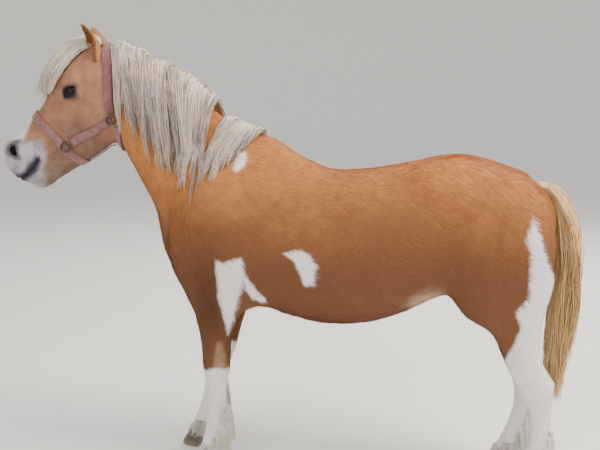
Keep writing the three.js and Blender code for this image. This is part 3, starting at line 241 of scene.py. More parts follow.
class Stations:
    """A table whose columns are read smoothly between its rows."""

    def __init__(self, rows: Iterable[Iterable[float]]) -> None:
        """Keeps the rows and the slopes at them."""
        self.rows = np.array(rows, float)
        count = len(self.rows)
        before = np.maximum(np.arange(count) - 1, 0)
        after = np.minimum(np.arange(count) + 1, count - 1)
        rise = self.rows[after] - self.rows[before]
        self.slopes = rise / rise[:, :1]

    def __call__(self, s: Numbers) -> Numbers:
        """Reads every column at each distance s.

        Args:
            s: distances, one for each row of the result.

        Returns:
            The columns after the first, as rows.
        """
        key = self.rows[:, 0]
        at = np.clip(s, key[0], key[-1])
        i = np.searchsorted(key[1:-1], at, side="left")
        span = key[i + 1] - key[i]
        t = (at - key[i]) / span
        t2, t3 = t * t, t * t * t
        low, high = self.rows[i, 1:], self.rows[i + 1, 1:]
        a, b = self.slopes[i, 1:], self.slopes[i + 1, 1:]
        weights = [2 * t3 - 3 * t2 + 1, (t3 - 2 * t2 + t) * span, 3 * t2 - 2 * t3, (t3 - t2) * span]
        return sum(w[:, None] * v for w, v in zip(weights, (low, a, high, b)))


def measured(distance: Numbers, share: Numbers, least: Numbers) -> Numbers:
    """About the distance to a surface, from the distance to its middle and the share of the way."""
    safe = np.maximum(share, 1e-4)
    return np.where(share > 1e-4, distance - distance / safe, -least)


class Loft:
    """A mass whose sections are eggs set square to a straight axis in the upright plane."""

    def __init__(
        self,
        base: tuple[float, float],
        axis: tuple[float, float],
        rows: Iterable[Iterable[float]],
        middle: Callable[[Numbers], Numbers] = lambda s: 0.0,
        slide: Callable[[Numbers], Numbers] = lambda s: 0.0,
    ) -> None:
        """Keeps the axis, its sections and how the sections shift along it."""
        self.base, self.axis, self.at = base, axis, Stations(rows)
        self.first, self.last = self.at.rows[0, 0], self.at.rows[-1, 0]
        turned = (axis[1], -axis[0]) if axis[0] < 0 or axis[1] < 0 else (-axis[1], axis[0])
        self.normal = (1.0, 0.0) if axis[0] == 0 else turned
        self.middle, self.slide = middle, slide

    def __call__(self, p: Points) -> Numbers:
        """About the distance from each point to the mass, negative inside."""
        dx, dz = p[:, 0] - self.base[0], p[:, 2] - self.base[1]
        s = dx * self.axis[0] + dz * self.axis[1]
        low, high, half, egg, square = self.at(s).T
        v = dx * self.normal[0] + dz * self.normal[1] - self.slide(s)
        centre, reach = (low + high) / 2, np.maximum((high - low) / 2, 1)
        q = (v - centre) / reach
        side = p[:, 1] - self.middle(s)
        wide = half * (1 - egg * np.clip(q, -1, 1))
        r = (np.abs(q) ** square + np.abs(side / wide) ** square) ** (1 / square)
        radial = measured(np.hypot(v - centre, side), r, np.minimum(reach, wide))
        past = np.maximum(self.first - s, s - self.last)
        return np.where(past > 0, np.hypot(np.maximum(radial, 0), past), np.maximum(radial, past))


class Ellipsoid:
    """A mass turned in the upright plane by an angle from +X towards +Z."""

    def __init__(self, centre: Iterable[float], radii: Iterable[float], turn: float = 0.0) -> None:
        """Keeps the middle, the three radii and the turn."""
        self.centre, self.radii = np.array(centre, float), np.array(radii, float)
        self.cos, self.sin = math.cos(turn), math.sin(turn)

    def __call__(self, p: Points) -> Numbers:
        """About the distance from each point to the mass, negative inside."""
        d = p - self.centre
        u = (d[:, 0] * self.cos + d[:, 2] * self.sin) / self.radii[0]
        v = d[:, 1] / self.radii[1]
        w = (d[:, 2] * self.cos - d[:, 0] * self.sin) / self.radii[2]
        share = np.sqrt(u * u + v * v + w * w)
        return measured(np.linalg.norm(d, axis=1), share, self.radii.min())


def join(a: Numbers, b: Numbers, k: float) -> Numbers:
    """Smooth union over a blending radius."""
    h = np.maximum(k - np.abs(a - b), 0) / k
    return np.minimum(a, b) - h * h * k / 4


@dataclass
class Leg:
    """One leg: its table, the side it stands on and how its foot is set."""

    name: str
    rows: tuple
    side: int
    foot_y: float
    step: float
    hip_z: float
    hoof_x: float

    def __post_init__(self) -> None:
        """Makes the leg's mass."""
        self.fore = self.rows is FORE_LEG
        self.mass = Loft((0, 0), (0, 1), self.rows, self.middle, self.slide)

    def middle(self, z: Numbers) -> Numbers:
        """Where the leg's middle lies from side to side at a height."""
        return self.side * mix(self.foot_y, HIP_Y, smooth(z / self.hip_z))

    def slide(self, z: Numbers) -> Numbers:
        """How far the leg has slid along the body at a height."""
        return self.step * (1 - smooth(z / self.hip_z))

    def near(self, p: Points) -> Numbers:
        """Which points may touch this leg."""
        ahead = (p[:, 0] < -170) if self.fore else (p[:, 0] > 120)
        return ahead & (p[:, 1] * self.side > -110)


LEGS = (
    Leg("front_left", FORE_LEG, -1, 92, 0, 640, -442),
    Leg("front_right", FORE_LEG, 1, 92, -76, 640, -442),
    Leg("hind_left", HIND_LEG, -1, 108, 0, 700, 498),
    Leg("hind_right", HIND_LEG, 1, 108, -48, 700, 498),
)


class Flesh:
    """The whole body before the neck turns, as one smooth mass."""

    def __init__(self) -> None:
        """Makes every mass that the body is joined from."""
        tilt = math.atan2(-HEAD_AXIS[1], -HEAD_AXIS[0])
        self.trunk = Loft((0, 0), (1, 0), TRUNK)
        self.neck = Loft(NECK_BASE, NECK_AXIS, NECK)
        self.skull = Loft(POLL, HEAD_AXIS, HEAD)
        self.muscles, self.face = [], []
        for s in (-1, 1):
            self.muscles += [
                Ellipsoid((-412, s * 88, 790), (96, 76, 196), 0.5),
                Ellipsoid((-516, s * 60, 672), (56, 60, 78)),
                Ellipsoid((-352, s * 108, 604), (82, 58, 92), 0.3),
                Ellipsoid((270, s * 108, 872), (120, 72, 78), -0.2),
                Ellipsoid((344, s * 118, 600), (74, 66, 96), 0.35),
            ]
            self.face += [
                Ellipsoid(head_point(150, -120, s * 34), (86, 44, 72), tilt),
                Ellipsoid(head_point(134, -14, s * 56), (46, 32, 28), tilt),
                Ellipsoid(head_point(404, 8, s * 30), (32, 26, 34), tilt),
            ]
        self.face.append(Ellipsoid(head_point(410, -110), (38, 36, 27), tilt))

    def __call__(self, p: Points) -> Numbers:
        """About the distance from each point to the flesh, negative inside."""
        f = join(self.trunk(p), self.neck(p), BLEND["neck"])
        low = (p[:, 2] < 1010) & (p[:, 0] > -720)
        if low.any():
            q, g = p[low], f[low]
            for mass in self.muscles:
                g = join(g, mass(q), BLEND["muscle"])
            for leg in LEGS:
                near = leg.near(q)
                if near.any():
                    g[near] = join(g[near], leg.mass(q[near]), BLEND["fore" if leg.fore else "hind"])
            f[low] = g
        ahead = (p[:, 0] < -560) & (p[:, 2] > 780)
        if ahead.any():
            q = p[ahead]
            g = join(f[ahead], self.skull(q), BLEND["head"])
            for mass in self.face:
                g = join(g, mass(q), BLEND["face"])
            f[ahead] = g
        return f


FLESH = Flesh()
TETRA = np.array([[1, -1, -1], [-1, -1, 1], [-1, 1, -1], [1, 1, 1]], float)


def slope(shape: Field, p: Points) -> Points:
    """The slope of a field at each point."""
    e = 0.6
    return sum(k * shape(p + e * k)[:, None] for k in TETRA) / (4 * e)


def settle(shape: Field, p: Points, wanted: Numbers = 0.0, rounds: int = 3) -> Points:
    """Moves points along the slope to where the field has the wanted value.

    Args:
        shape: the field.
        p: the points.
        wanted: the value wanted at each point.
        rounds: how many steps are taken.

    Returns:
        The moved points.
    """
    p = p.copy()
    for _ in range(rounds):
        g = slope(shape, p)
        size = np.maximum(np.sum(g * g, axis=1), 0.05)
        p -= ((shape(p) - wanted) / size)[:, None] * g
    return p


def outward(shape: Field, p: Points) -> Points:
    """The direction out of the field at each point."""
    return unit(slope(shape, p))


def leave(shape: Field, start: Points, ray: Points, reach: float) -> Points:
    """Where rays that start inside a field first leave it.

    Args:
        shape: the field.
        start: one start for each ray.
        ray: the rays' directions.
        reach: how far the rays go at most.

    Returns:
        The points where they leave.
    """
    low, high = np.zeros(len(start)), np.zeros(len(start))
    out = np.zeros(len(start), bool)
    for _ in range(int(reach / 4)):
        f = shape(start + high[:, None] * ray)
        out |= f >= 0
        if out.all():
            break
        low = np.where(out, low, high)
        high = np.where(out, high, high + np.clip(-0.7 * f, 2, 60))
    for _ in range(20):
        mid = (low + high) / 2
        inside = shape(start + mid[:, None] * ray) < 0
        low, high = np.where(inside, mid, low), np.where(inside, high, mid)
    return start + high[:, None] * ray


def turn_neck(p: Points) -> Points:
    """Turns the neck and head to the left, leaving each section flat."""
    x, y = p[:, 0], p[:, 1]
    radius = (NECK_TURN_START - NECK_TURN_END) / NECK_TURN
    angle = np.clip((NECK_TURN_START - x) / radius, 0, NECK_TURN)
    rest = np.maximum(NECK_TURN_END - x, 0)
    mid_x = NECK_TURN_START - radius * np.sin(angle) - rest * np.cos(angle)
    mid_y = -radius * (1 - np.cos(angle)) - rest * np.sin(angle)
    turned = rows(mid_x - y * np.sin(angle), mid_y + y * np.cos(angle), p[:, 2])
    return np.where((x < NECK_TURN_START)[:, None], turned, p)


def turn_directions(p: Points, v: Points) -> Points:
    """Turns directions that start at points along with the neck."""
    radius = (NECK_TURN_START - NECK_TURN_END) / NECK_TURN
    angle = np.clip((NECK_TURN_START - p[:, 0]) / radius, 0, NECK_TURN)
    cos, sin = np.cos(angle), np.sin(angle)
    return rows(v[:, 0] * cos - v[:, 1] * sin, v[:, 0] * sin + v[:, 1] * cos, v[:, 2])


class Bench:
    """Turns finished points from the maker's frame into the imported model's frame."""

    shift = 0.0

    @classmethod
    def set_up(cls) -> None:
        """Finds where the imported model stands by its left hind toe."""
        cls.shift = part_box("hoof_hind_left")[0].x * 1000 - TOE_X
        log.info("the packed model stands %.2f mm along", cls.shift)

    @classmethod
    def place(cls, p: Points) -> Points:
        """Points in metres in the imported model's frame."""
        return (turn_neck(p) + (cls.shift, 0, 0)) / 1000


class Slot(Enum):
    """The record's material slots."""

    CHESTNUT = "chestnut_hair"
    WHITE = "white_hair"
    GOLDEN = "golden_hair"
    HORN = "horn"
    EYE = "eye"
    WEBBING = "webbing"
    STEEL = "steel"


def set_in_scene(name: str, data: bpy.types.ID) -> Piece:
    """Makes an object of its mesh, light or camera and links it to the scene."""
    obj = bpy.data.objects.new(name, data)
    bpy.context.scene.collection.objects.link(obj)
    return obj


def mesh_of(name: str, verts: Points, faces: list[list[int]], outwards: bool = True) -> Piece:
    """Makes a smooth object from points in metres and faces.

    Args:
        name: the object's name.
        verts: the points.
        faces: lists of corners.
        outwards: whether the faces are turned to point out of the solid that they close.

    Returns:
        The object, linked to the scene.
    """
    mesh = bpy.data.meshes.new(name)
    mesh.from_pydata(verts.tolist(), [], faces)
    mesh.validate()
    mesh.shade_smooth()
    if outwards:
        bm = bmesh.new()
        bm.from_mesh(mesh)
        bmesh.ops.recalc_face_normals(bm, faces=bm.faces)
        bm.to_mesh(mesh)
        bm.free()
    return set_in_scene(name, mesh)


def stack_faces(rings: int, sides: int, closed: bool = False) -> list[list[int]]:
    """Faces of a skin over a stack of rings, capped unless its ends meet."""
    faces = []
    for i in range(rings if closed else rings - 1):
        for j in range(sides):
            a, b = i * sides + j, i * sides + (j + 1) % sides
            c = ((i + 1) % rings) * sides
            faces.append([a, b, c + (j + 1) % sides, c + j])
    if not closed:
        faces.append(list(range(sides))[::-1])
        faces.append(list(range((rings - 1) * sides, rings * sides)))
    return faces


def set_number(obj: Piece, name: str, values: Numbers) -> None:
    """Stores a number at each point of an object."""
    layer = obj.data.attributes.new(name, "FLOAT", "POINT")
    layer.data.foreach_set("value", np.ascontiguousarray(values, np.float32))


def set_vector(obj: Piece, name: str, values: Points) -> None:
    """Stores a vector at each point of an object."""
    layer = obj.data.attributes.new(name, "FLOAT_VECTOR", "POINT")
    layer.data.foreach_set("vector", np.ascontiguousarray(values, np.float32).ravel())


def corners_of(obj: Piece) -> Numbers:
    """The point at each corner of an object's faces."""
    corners = np.zeros(len(obj.data.loops), np.int64)
    obj.data.loops.foreach_get("vertex_index", corners)
    return corners


def face_sizes(obj: Piece) -> Numbers:
    """How many corners each face of an object has."""
    sizes = np.zeros(len(obj.data.polygons), np.int64)
    obj.data.polygons.foreach_get("loop_total", sizes)
    return sizes


def set_map(obj: Piece, uv: Numbers) -> None:
    """Puts an object on the coat's map by the coordinates at its faces' corners."""
    layer = obj.data.uv_layers.new(name="OFBake")
    layer.data.foreach_set("uv", uv.astype(np.float32).ravel())


def finish_piece(obj: Piece, replaces: Iterable[str] = ()) -> None:
    """Sets a finished piece on the pony's one body and hides the parts that it stands for."""
    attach(obj, "root")
    names = list(replaces)
    if names:
        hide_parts(*names)
    log.info("%s: %d triangles", obj.name, (face_sizes(obj) - 2).sum())


# Node trees and materials


class Tree:
    """A node tree with short words for the nodes that it needs."""

    tree: bpy.types.NodeTree

    def put(self, target: bpy.types.NodeSocket, value: object) -> None:
        """Links a value to an input, or sets it where it is a plain one."""
        if isinstance(value, bpy.types.NodeSocket):
            self.tree.links.new(value, target)
        else:
            target.default_value = value

    def node(self, kind: str, inputs: dict | None = None, **settings: object) -> bpy.types.Node:
        """Adds a node with its settings and inputs.

        Args:
            kind: the node's kind.
            inputs: values or sockets by input name or place.
            settings: the node's own settings.

        Returns:
            The node.
        """
        made = self.tree.nodes.new(kind)
        for key, value in settings.items():
            setattr(made, key, value)
        for key, value in (inputs or {}).items():
            self.put(made.inputs[key], value)
        return made

    def sum(self, kind: str, a: object, b: object = 0.0) -> object:
        """One sum of two numbers."""
        return self.node("ShaderNodeMath", {0: a, 1: b}, operation=kind).outputs[0]

    def add(self, a: object, b: object) -> object:
        """Two numbers added."""
        return self.sum("ADD", a, b)

    def times(self, a: object, b: object) -> object:
        """Two numbers multiplied."""
        return self.sum("MULTIPLY", a, b)

    def parts(self, source: object) -> list:
        """The x, y and z of a vector."""
        return list(self.node("ShaderNodeSeparateXYZ", {0: source}).outputs)


class Shader(Tree):
    """A material's node tree around one Principled shader."""

    def __init__(self, name: str) -> None:
        """Starts the material."""
        self.material = bpy.data.materials.new(name)
        self.material.use_nodes = True
        self.tree = self.material.node_tree
        self.tree.nodes.clear()
        out = self.tree.nodes.new("ShaderNodeOutputMaterial")
        self.skin = self.tree.nodes.new("ShaderNodeBsdfPrincipled")
        self.tree.links.new(self.skin.outputs[0], out.inputs[0])

    def finish(self, looks: dict[str, object]) -> Finish:
        """Links or sets the shader's inputs by name, and gives the material."""
        for name, value in looks.items():
            self.put(self.skin.inputs[name], value)
        return self.material

    def number(self, name: str) -> object:
        """An attribute of the piece as a number."""
        return self.node("ShaderNodeAttribute", attribute_name=name).outputs["Fac"]

    def vector(self, name: str) -> object:
        """An attribute of the piece as a vector."""
        return self.node("ShaderNodeAttribute", attribute_name=name).outputs["Vector"]

    def place(self) -> object:
        """Object coordinates, in metres."""
        return self.node("ShaderNodeTexCoord").outputs["Object"]

    def scaled(self, source: object, scale: tuple[float, float, float]) -> object:
        """A pattern's coordinates, scaled along each axis."""
        return self.node("ShaderNodeMapping", {"Vector": source, "Scale": scale}).outputs[0]

    def noise(self, source: object, scale: float, detail: float = 3.0) -> object:
        """Soft noise from 0 to 1."""
        inputs = {"Vector": source, "Scale": scale, "Detail": detail, "Roughness": 0.55}
        return self.node("ShaderNodeTexNoise", inputs).outputs[0]

    def ramp(
        self, value: object, low: float, high: float, start: float = 0.0, end: float = 1.0
    ) -> object:
        """Maps a value smoothly from one range, low to high, to another, start to end."""
        inputs = {"Value": value, "From Min": low, "From Max": high, "To Min": start, "To Max": end}
        return self.node("ShaderNodeMapRange", inputs, interpolation_type="SMOOTHSTEP").outputs[0]

    def blend(self, share: object, a: object, b: object, kind: str = "MIX") -> object:
        """Mixes a share of colour b into colour a."""
        inputs = {0: share, 6: a, 7: b}
        return self.node("ShaderNodeMix", inputs, data_type="RGBA", blend_type=kind).outputs[2]

    def bump(self, height: object, depth: float) -> object:
        """Raises the surface by a height from 0 to 1 times a depth in metres."""
        inputs = {"Strength": 1.0, "Distance": depth, "Height": height}
        return self.node("ShaderNodeBump", inputs).outputs[0]


def colour(red: float, green: float, blue: float) -> tuple[float, float, float, float]:
    """A colour given in display values from 0 to 255, as the shader wants it."""
    shares = [c / 255 for c in (red, green, blue)]
    linear = [c / 12.92 if c <= 0.04045 else ((c + 0.055) / 1.055) ** 2.4 for c in shares]
    return (*linear, 1.0)


@dataclass(frozen=True)
class CoatFinish:
    """The short chestnut coat: white patches, pale flanks, painted shade low, painted sunlight on top.
    """

    chestnut: tuple = colour(178, 116, 72)
    # painted sunlight along the back and croup
    painted_light: tuple = colour(218, 146, 82)
    # painted shade low on the body, also the tone of random darker clumps
    dusky_and_shade: tuple = colour(130, 86, 58)
    dark: tuple = colour(60, 38, 28)
    fawn: tuple = colour(214, 184, 150)
    white: tuple = colour(251, 249, 250)
    # painted shade between the hairs, laid in streaks
    between: tuple = colour(196, 176, 160)  # what darkens the coat between its hairs
    pink: tuple = colour(188, 178, 186)
    lilac: tuple = colour(156, 146, 158)
    slate: tuple = colour(44, 46, 60)
    # near-black painted shade inside the nostrils, in the mouth's crease and at the eye's opening
    pit_shade: tuple = colour(16, 13, 15)
    roughness: float = 0.66
    gloss: float = 0.18
    ragged: float = 14.0  # millimetres by which hair moves a patch's edge
    streak: tuple = (16.0, 260.0, 1.0)  # how fine the hair is along and across its lie
    depth: float = 0.0022  # metres from the tips of the finest hair to its roots

    def make(self, name: str, is_skin: bool) -> Finish:
        """Makes the coat's material.

        Args:
            name: the material's name.
            is_skin: whether it dresses the skin, where the finest hair is only bump.

        Returns:
            The material.
        """
        s = Shader(name)
        place = s.place()
        height = s.parts(place)[2]
        broad = s.noise(place, 4.5, 2.0)
        clump = s.noise(place, 38.0)
        # painted light and shade by height: painted shade low on the body, painted sunlight high on it
        top = s.ramp(height, 0.62, 0.95)
        base = s.blend(top, self.dusky_and_shade, self.chestnut)
        # painted sunlight in broad patches high on the body
        base = s.blend(s.times(top, s.ramp(broad, 0.45, 0.7, 0.0, 0.6)), base, self.painted_light)
        # a painted highlight along the crown of the back
        crown = s.ramp(s.add(height, s.times(broad, 0.1)), 0.8, 1.02, 0.0, 0.85)
        base = s.blend(crown, base, self.painted_light)
        base = s.blend(s.ramp(clump, 0.35, 0.75, 0.0, 0.35), base, self.dusky_and_shade)
        pale = s.add(s.number("pale"), s.times(clump, 0.3))
        base = s.blend(s.ramp(pale, 0.2, 0.95), base, self.fawn)
        base = s.blend(s.number("dark"), base, self.dark)
        edge = s.add(s.number("white"), s.times(s.sum("SUBTRACT", clump, 0.5), self.ragged))
        base = s.blend(s.ramp(edge, -5.0, 6.0), base, self.white)
        if is_skin:
            streaks = s.noise(s.scaled(s.vector("OFBake"), self.streak), 14.0)
        else:
            streaks = s.ramp(s.number("tuft_tone"), 0.0, 1.0)
        # painted shade between the hairs, in streaks along the lie
        shaded = s.blend(1.0, base, self.between, "MULTIPLY")
        base = s.blend(s.ramp(streaks, 0.2, 0.85, 0.0, 0.3), base, shaded)
        nose = s.blend(s.ramp(clump, 0.4, 0.66), self.pink, self.lilac)
        # the last of these is painted shade in the face's recesses
        for mark, tint in (("bare", nose), ("slate", self.slate), ("hollow_shade", self.pit_shade)):
            base = s.blend(s.number(mark), base, tint)
        looks = {"Base Color": base, "Roughness": self.roughness, "Specular IOR Level": self.gloss}
        if is_skin:
            fine = s.noise(place, 210.0, 2.0)
            looks["Normal"] = s.bump(s.add(streaks, s.times(fine, 0.5)), self.depth)
        return s.finish(looks)


@dataclass(frozen=True)
class HairFinish:
    """Long hair: strands of one tone, paler or warmer from root to tip."""

    root: tuple
    tip: tuple
    shade: tuple
    warm: tuple
    roughness: float = 0.5
    gloss: float = 0.35

    def make(self, name: str) -> Finish:
        """Makes the strands' material."""
        s = Shader(name)
        base = s.blend(s.ramp(s.number("along"), 0.05, 0.8), self.root, self.tip)
        base = s.blend(s.ramp(s.number("tone"), 0.35, 1.0, 0.0, 0.85), base, self.shade)
        base = s.blend(s.ramp(s.noise(s.place(), 9.0, 2.0), 0.5, 0.7, 0.0, 0.6), base, self.warm)
        looks = {"Roughness": self.roughness, "Specular IOR Level": self.gloss}
        return s.finish({"Base Color": base, **looks})


@dataclass(frozen=True)
class HornFinish:
    """Hoof horn: dark, ringed by its growth and dusty below."""

    dark: tuple = colour(58, 50, 44)
    pale: tuple = colour(120, 106, 92)
    dust: tuple = colour(134, 120, 100)
    grain: tuple = (300.0, 300.0, 14.0)  # how fine the horn's tubes are along each axis
    growth: tuple = (6.0, 6.0, 190.0)  # how fine its rings are
    depth: float = 0.0016

    def make(self, name: str) -> Finish:
        """Makes the horn's material."""
        s = Shader(name)
        place = s.place()
        grain = s.noise(s.scaled(place, self.grain), 1.0)
        rings = s.noise(s.scaled(place, self.growth), 1.0, 2.0)
        base = s.blend(s.ramp(grain, 0.4, 0.7), self.dark, self.pale)
        base = s.blend(s.ramp(rings, 0.45, 0.65, 0.0, 0.5), base, self.dark)
        height = s.add(s.parts(place)[2], s.times(s.noise(place, 60.0), 0.012))
        base = s.blend(s.ramp(height, 0.006, 0.03, 0.75, 0.1), base, self.dust)
        rough = s.ramp(grain, 0.3, 0.8, 0.42, 0.68)
        bumps = s.bump(s.add(rings, s.times(grain, 0.4)), self.depth)
        return s.finish({"Base Color": base, "Roughness": rough, "Normal": bumps})


@dataclass(frozen=True)
class EyeFinish:
    """A dark brown eye with a level pupil under a wet surface."""

    white: tuple = colour(26, 18, 16)
    iris: tuple = colour(20, 12, 9)
    fibre: tuple = colour(34, 20, 13)
    pupil: tuple = colour(6, 6, 12)
    rim: tuple = colour(8, 6, 6)
    slot: tuple = (0.34, 0.2)  # the pupil's half width and height, by the ball's radius

    def make(self, name: str) -> Finish:
        """Makes the eye's material, read from its own coordinates."""
        s = Shader(name)
        place = s.vector("eye_place")
        x, y, _ = s.parts(place)

        def away(a: object, b: object) -> object:
            """How far a point lies from the middle."""
            return s.sum("SQRT", s.add(s.times(a, a), s.times(b, b)))

        fibre = s.noise(s.scaled(place, (9.0, 9.0, 1.0)), 1.0)
        base = s.blend(s.ramp(fibre, 0.3, 0.7), self.iris, self.fibre)
        slot = away(s.sum("DIVIDE", x, self.slot[0]), s.sum("DIVIDE", y, self.slot[1]))
        base = s.blend(s.ramp(slot, 1.1, 0.9), base, self.pupil)
        base = s.blend(s.ramp(away(x, y), 0.56, 0.66), base, self.rim)
        base = s.blend(s.ramp(away(x, y), 0.74, 0.86), base, self.white)
        wet = {"Roughness": 0.25, "Specular IOR Level": 0.1, "Coat Weight": 0.2, "Coat Roughness": 0.03}
        return s.finish({"Base Color": base, **wet})


@dataclass(frozen=True)
class WebbingFinish:
    """Woven rose webbing with darker edges, painted shade in the weave's dips, rubbed and dusty in
    places.
    """

    rose: tuple = colour(142, 82, 86)
    faded: tuple = colour(164, 112, 110)
    deep: tuple = colour(92, 46, 54)
    ribs: float = 2.2  # millimetres from rib to rib

    def make(self, name: str) -> Finish:
        """Makes the webbing's material, read from its weave coordinates in millimetres."""
        s = Shader(name)
        along, beside, _ = s.parts(s.vector("weave"))
        turn = 2 * math.pi / self.ribs
        ribs = s.sum("SINE", s.times(along, turn))
        wales = s.sum("SINE", s.times(beside, turn * 1.25))
        weave = s.times(ribs, wales)
        base = s.blend(s.ramp(s.noise(s.place(), 34.0), 0.4, 0.68), self.rose, self.faded)
        # painted shade in the dips of the weave
        base = s.blend(s.ramp(weave, 0.2, -0.8, 0.0, 0.45), base, self.deep)
        base = s.blend(s.ramp(s.sum("ABSOLUTE", beside), 9.5, 12.0, 0.0, 0.35), base, self.deep)
        looks = {"Base Color": base, "Roughness": 0.78, "Sheen Weight": 0.3}
        return s.finish({**looks, "Normal": s.bump(weave, 0.0005)})


@dataclass(frozen=True)
class MetalFinish:
    """Dull plated steel with small scratches."""

    bright: tuple = colour(98, 88, 82)
    dull: tuple = colour(70, 60, 54)

    def make(self, name: str) -> Finish:
        """Makes the metal's material."""
        s = Shader(name)
        spots = s.noise(s.place(), 260.0, 4.0)
        base = s.blend(s.ramp(spots, 0.4, 0.7), self.bright, self.dull)
        looks = {"Base Color": base, "Metallic": 1.0, "Roughness": s.ramp(spots, 0.3, 0.7, 0.25, 0.5)}
        return s.finish({**looks, "Normal": s.bump(spots, 0.0003)})


# Geometry Nodes


class GeometryTree(Tree):
    """A Geometry Nodes tree with named inputs."""

    PATCH = 0.003  # how wide one tuft or strand is on the coat's map

    def __init__(self, name: str) -> None:
        """Starts a tree that takes and gives geometry."""
        self.tree = bpy.data.node_groups.new(name, "GeometryNodeTree")
        self.tree.is_modifier = True
        for way in ("INPUT", "OUTPUT"):
            self.tree.interface.new_socket("Geometry", in_out=way, socket_type="NodeSocketGeometry")
        self.entry = self.tree.nodes.new("NodeGroupInput")
        self.exit = self.tree.nodes.new("NodeGroupOutput")
        self.ids: dict[str, str] = {}

    def take(self, name: str, kind: str) -> object:
        """Adds a named input and gives where its value comes out."""
        socket = self.tree.interface.new_socket(name, in_out="INPUT", socket_type="NodeSocket" + kind)
        self.ids[name] = socket.identifier
        return next(o for o in self.entry.outputs if o.identifier == socket.identifier)

    def one(self, kind: str, inputs: dict | None = None, **settings: object) -> object:
        """Adds a node and gives its first output."""
        return self.node(kind, inputs, **settings).outputs[0]

    def combined(self, *parts: object) -> object:
        """A vector of its parts."""
        return self.one("ShaderNodeCombineXYZ", dict(enumerate(parts)))

    def named(self, name: object, kind: str = "FLOAT") -> object:
        """Reads a named attribute."""
        node = self.node("GeometryNodeInputNamedAttribute", {"Name": name}, data_type=kind)
        return next(o for o in node.outputs if o.enabled and o.name == "Attribute")

    def store(
        self, geometry: object, name: str, value: object, kind: str = "FLOAT", domain: str = "POINT"
    ) -> object:
        """Stores a named attribute and gives the geometry with it."""
        inputs = {"Geometry": geometry, "Name": name, "Value": value}
        return self.one("GeometryNodeStoreNamedAttribute", inputs, data_type=kind, domain=domain)

    def random(self, low: object, high: object, seed: object, kind: str = "FLOAT") -> object:
        """A random value between two others."""
        node = self.node("FunctionNodeRandomValue", {"Seed": seed}, data_type=kind)
        ends = [s for s in node.inputs if s.enabled and s.name in ("Min", "Max")]
        for socket, value in zip(ends, (low, high)):
            self.put(socket, value)
        return next(o for o in node.outputs if o.enabled)

    def finish(self, grown: object, local: object, material: object) -> None:
        """Ends the tree: what has grown is realized, put on the coat's map and dressed.

        Args:
            grown: the instances or the mesh.
            local: each point's place in its tuft or strand, from 0 to 1.
            material: the material.
        """
        real = self.one("GeometryNodeRealizeInstances", {0: grown})
        patch = self.one("ShaderNodeVectorMath", {0: local, "Scale": self.PATCH}, operation="SCALE")
        root = self.named("root_uv", "FLOAT_VECTOR")
        spot = self.one("ShaderNodeVectorMath", {0: root, 1: patch}, operation="ADD")
        mapped = self.store(real, "OFBake", spot, "FLOAT2", "CORNER")
        dressed = self.one("GeometryNodeSetMaterial", {"Geometry": mapped, "Material": material})
        self.tree.links.new(dressed, self.exit.inputs[0])

    def run(self, source: Piece, name: str, **values: object) -> Piece:
        """Runs the tree on a piece and keeps the result as a plain mesh.

        Args:
            source: the object that the tree works on, which is removed afterwards.
            name: the name of the new object.
            values: the tree's inputs by name.

        Returns:
            The new object.
        """
        modifier = source.modifiers.new(name, "NODES")
        modifier.node_group = self.tree
        for key, value in values.items():
            modifier[self.ids[key]] = value
        bpy.context.view_layer.update()
        graph = bpy.context.evaluated_depsgraph_get()
        mesh = bpy.data.meshes.new_from_object(source.evaluated_get(graph))
        mesh.name = name
        made = set_in_scene(name, mesh)
        source.modifiers.remove(modifier)
        bpy.data.objects.remove(source)
        return made


def tuft_tree() -> GeometryTree:
    """The tree that plants short tufts on a skin, lying along its coat."""
    g = GeometryTree("plant_tufts")
    area = g.take("Area", "String")
    sizes = ("Density", "Length", "Width", "Lift")
    density, length, width, lift = (g.take(name, "Float") for name in sizes)
    seed, material = g.take("Seed", "Int"), g.take("Material", "Material")
    spread = g.node(
        "GeometryNodeDistributePointsOnFaces",
        {"Mesh": g.entry.outputs[0], "Density": g.times(g.named(area), density), "Seed": seed},
        distribute_method="RANDOM",
    ).outputs
    toned = g.store(spread["Points"], "tuft_tone", g.random(0.0, 1.0, seed))
    shape = {"Vertices": 3, "Radius Top": 0.0, "Radius Bottom": 0.5, "Depth": 1.0}
    cone = g.one("GeometryNodeMeshCone", shape)
    x, _, z = g.parts(g.one("GeometryNodeInputPosition"))
    marked = g.store(cone, "patch", g.combined(z, x), "FLOAT_VECTOR")
    laid = g.one(
        "GeometryNodeTransform",
        {"Geometry": marked, "Rotation": (0.0, math.pi / 2, 0.0), "Scale": (0.45, 1.0, 1.0)},
    )
    turn = g.one(
        "FunctionNodeAxesToRotation",
        {"Primary Axis": spread["Normal"], "Secondary Axis": g.named("lie", "FLOAT_VECTOR")},
        primary_axis="Z",
        secondary_axis="X",
    )
    swing = g.parts(g.random((-0.14, -1.0, -0.42), (0.14, 1.0, 0.42), seed, "FLOAT_VECTOR"))
    rise = g.times(g.add(g.times(swing[1], 0.45), 1.0), lift)
    euler = g.combined(swing[0], g.times(rise, -1.0), swing[2])
    lean = g.one("FunctionNodeEulerToRotation", {0: euler})
    whole = g.one(
        "FunctionNodeRotateRotation", {"Rotation": turn, "Rotate By": lean}, rotation_space="LOCAL"
    )
    vary = g.random(0.65, 1.3, g.add(seed, 5))
    long = g.times(g.times(length, vary), g.named("fur"))
    thin = g.times(width, vary)
    grown = g.one(
        "GeometryNodeInstanceOnPoints",
        {"Points": toned, "Instance": laid, "Rotation": whole, "Scale": g.combined(long, thin, thin)},
    )
    g.finish(grown, g.named("patch", "FLOAT_VECTOR"), material)
    return g


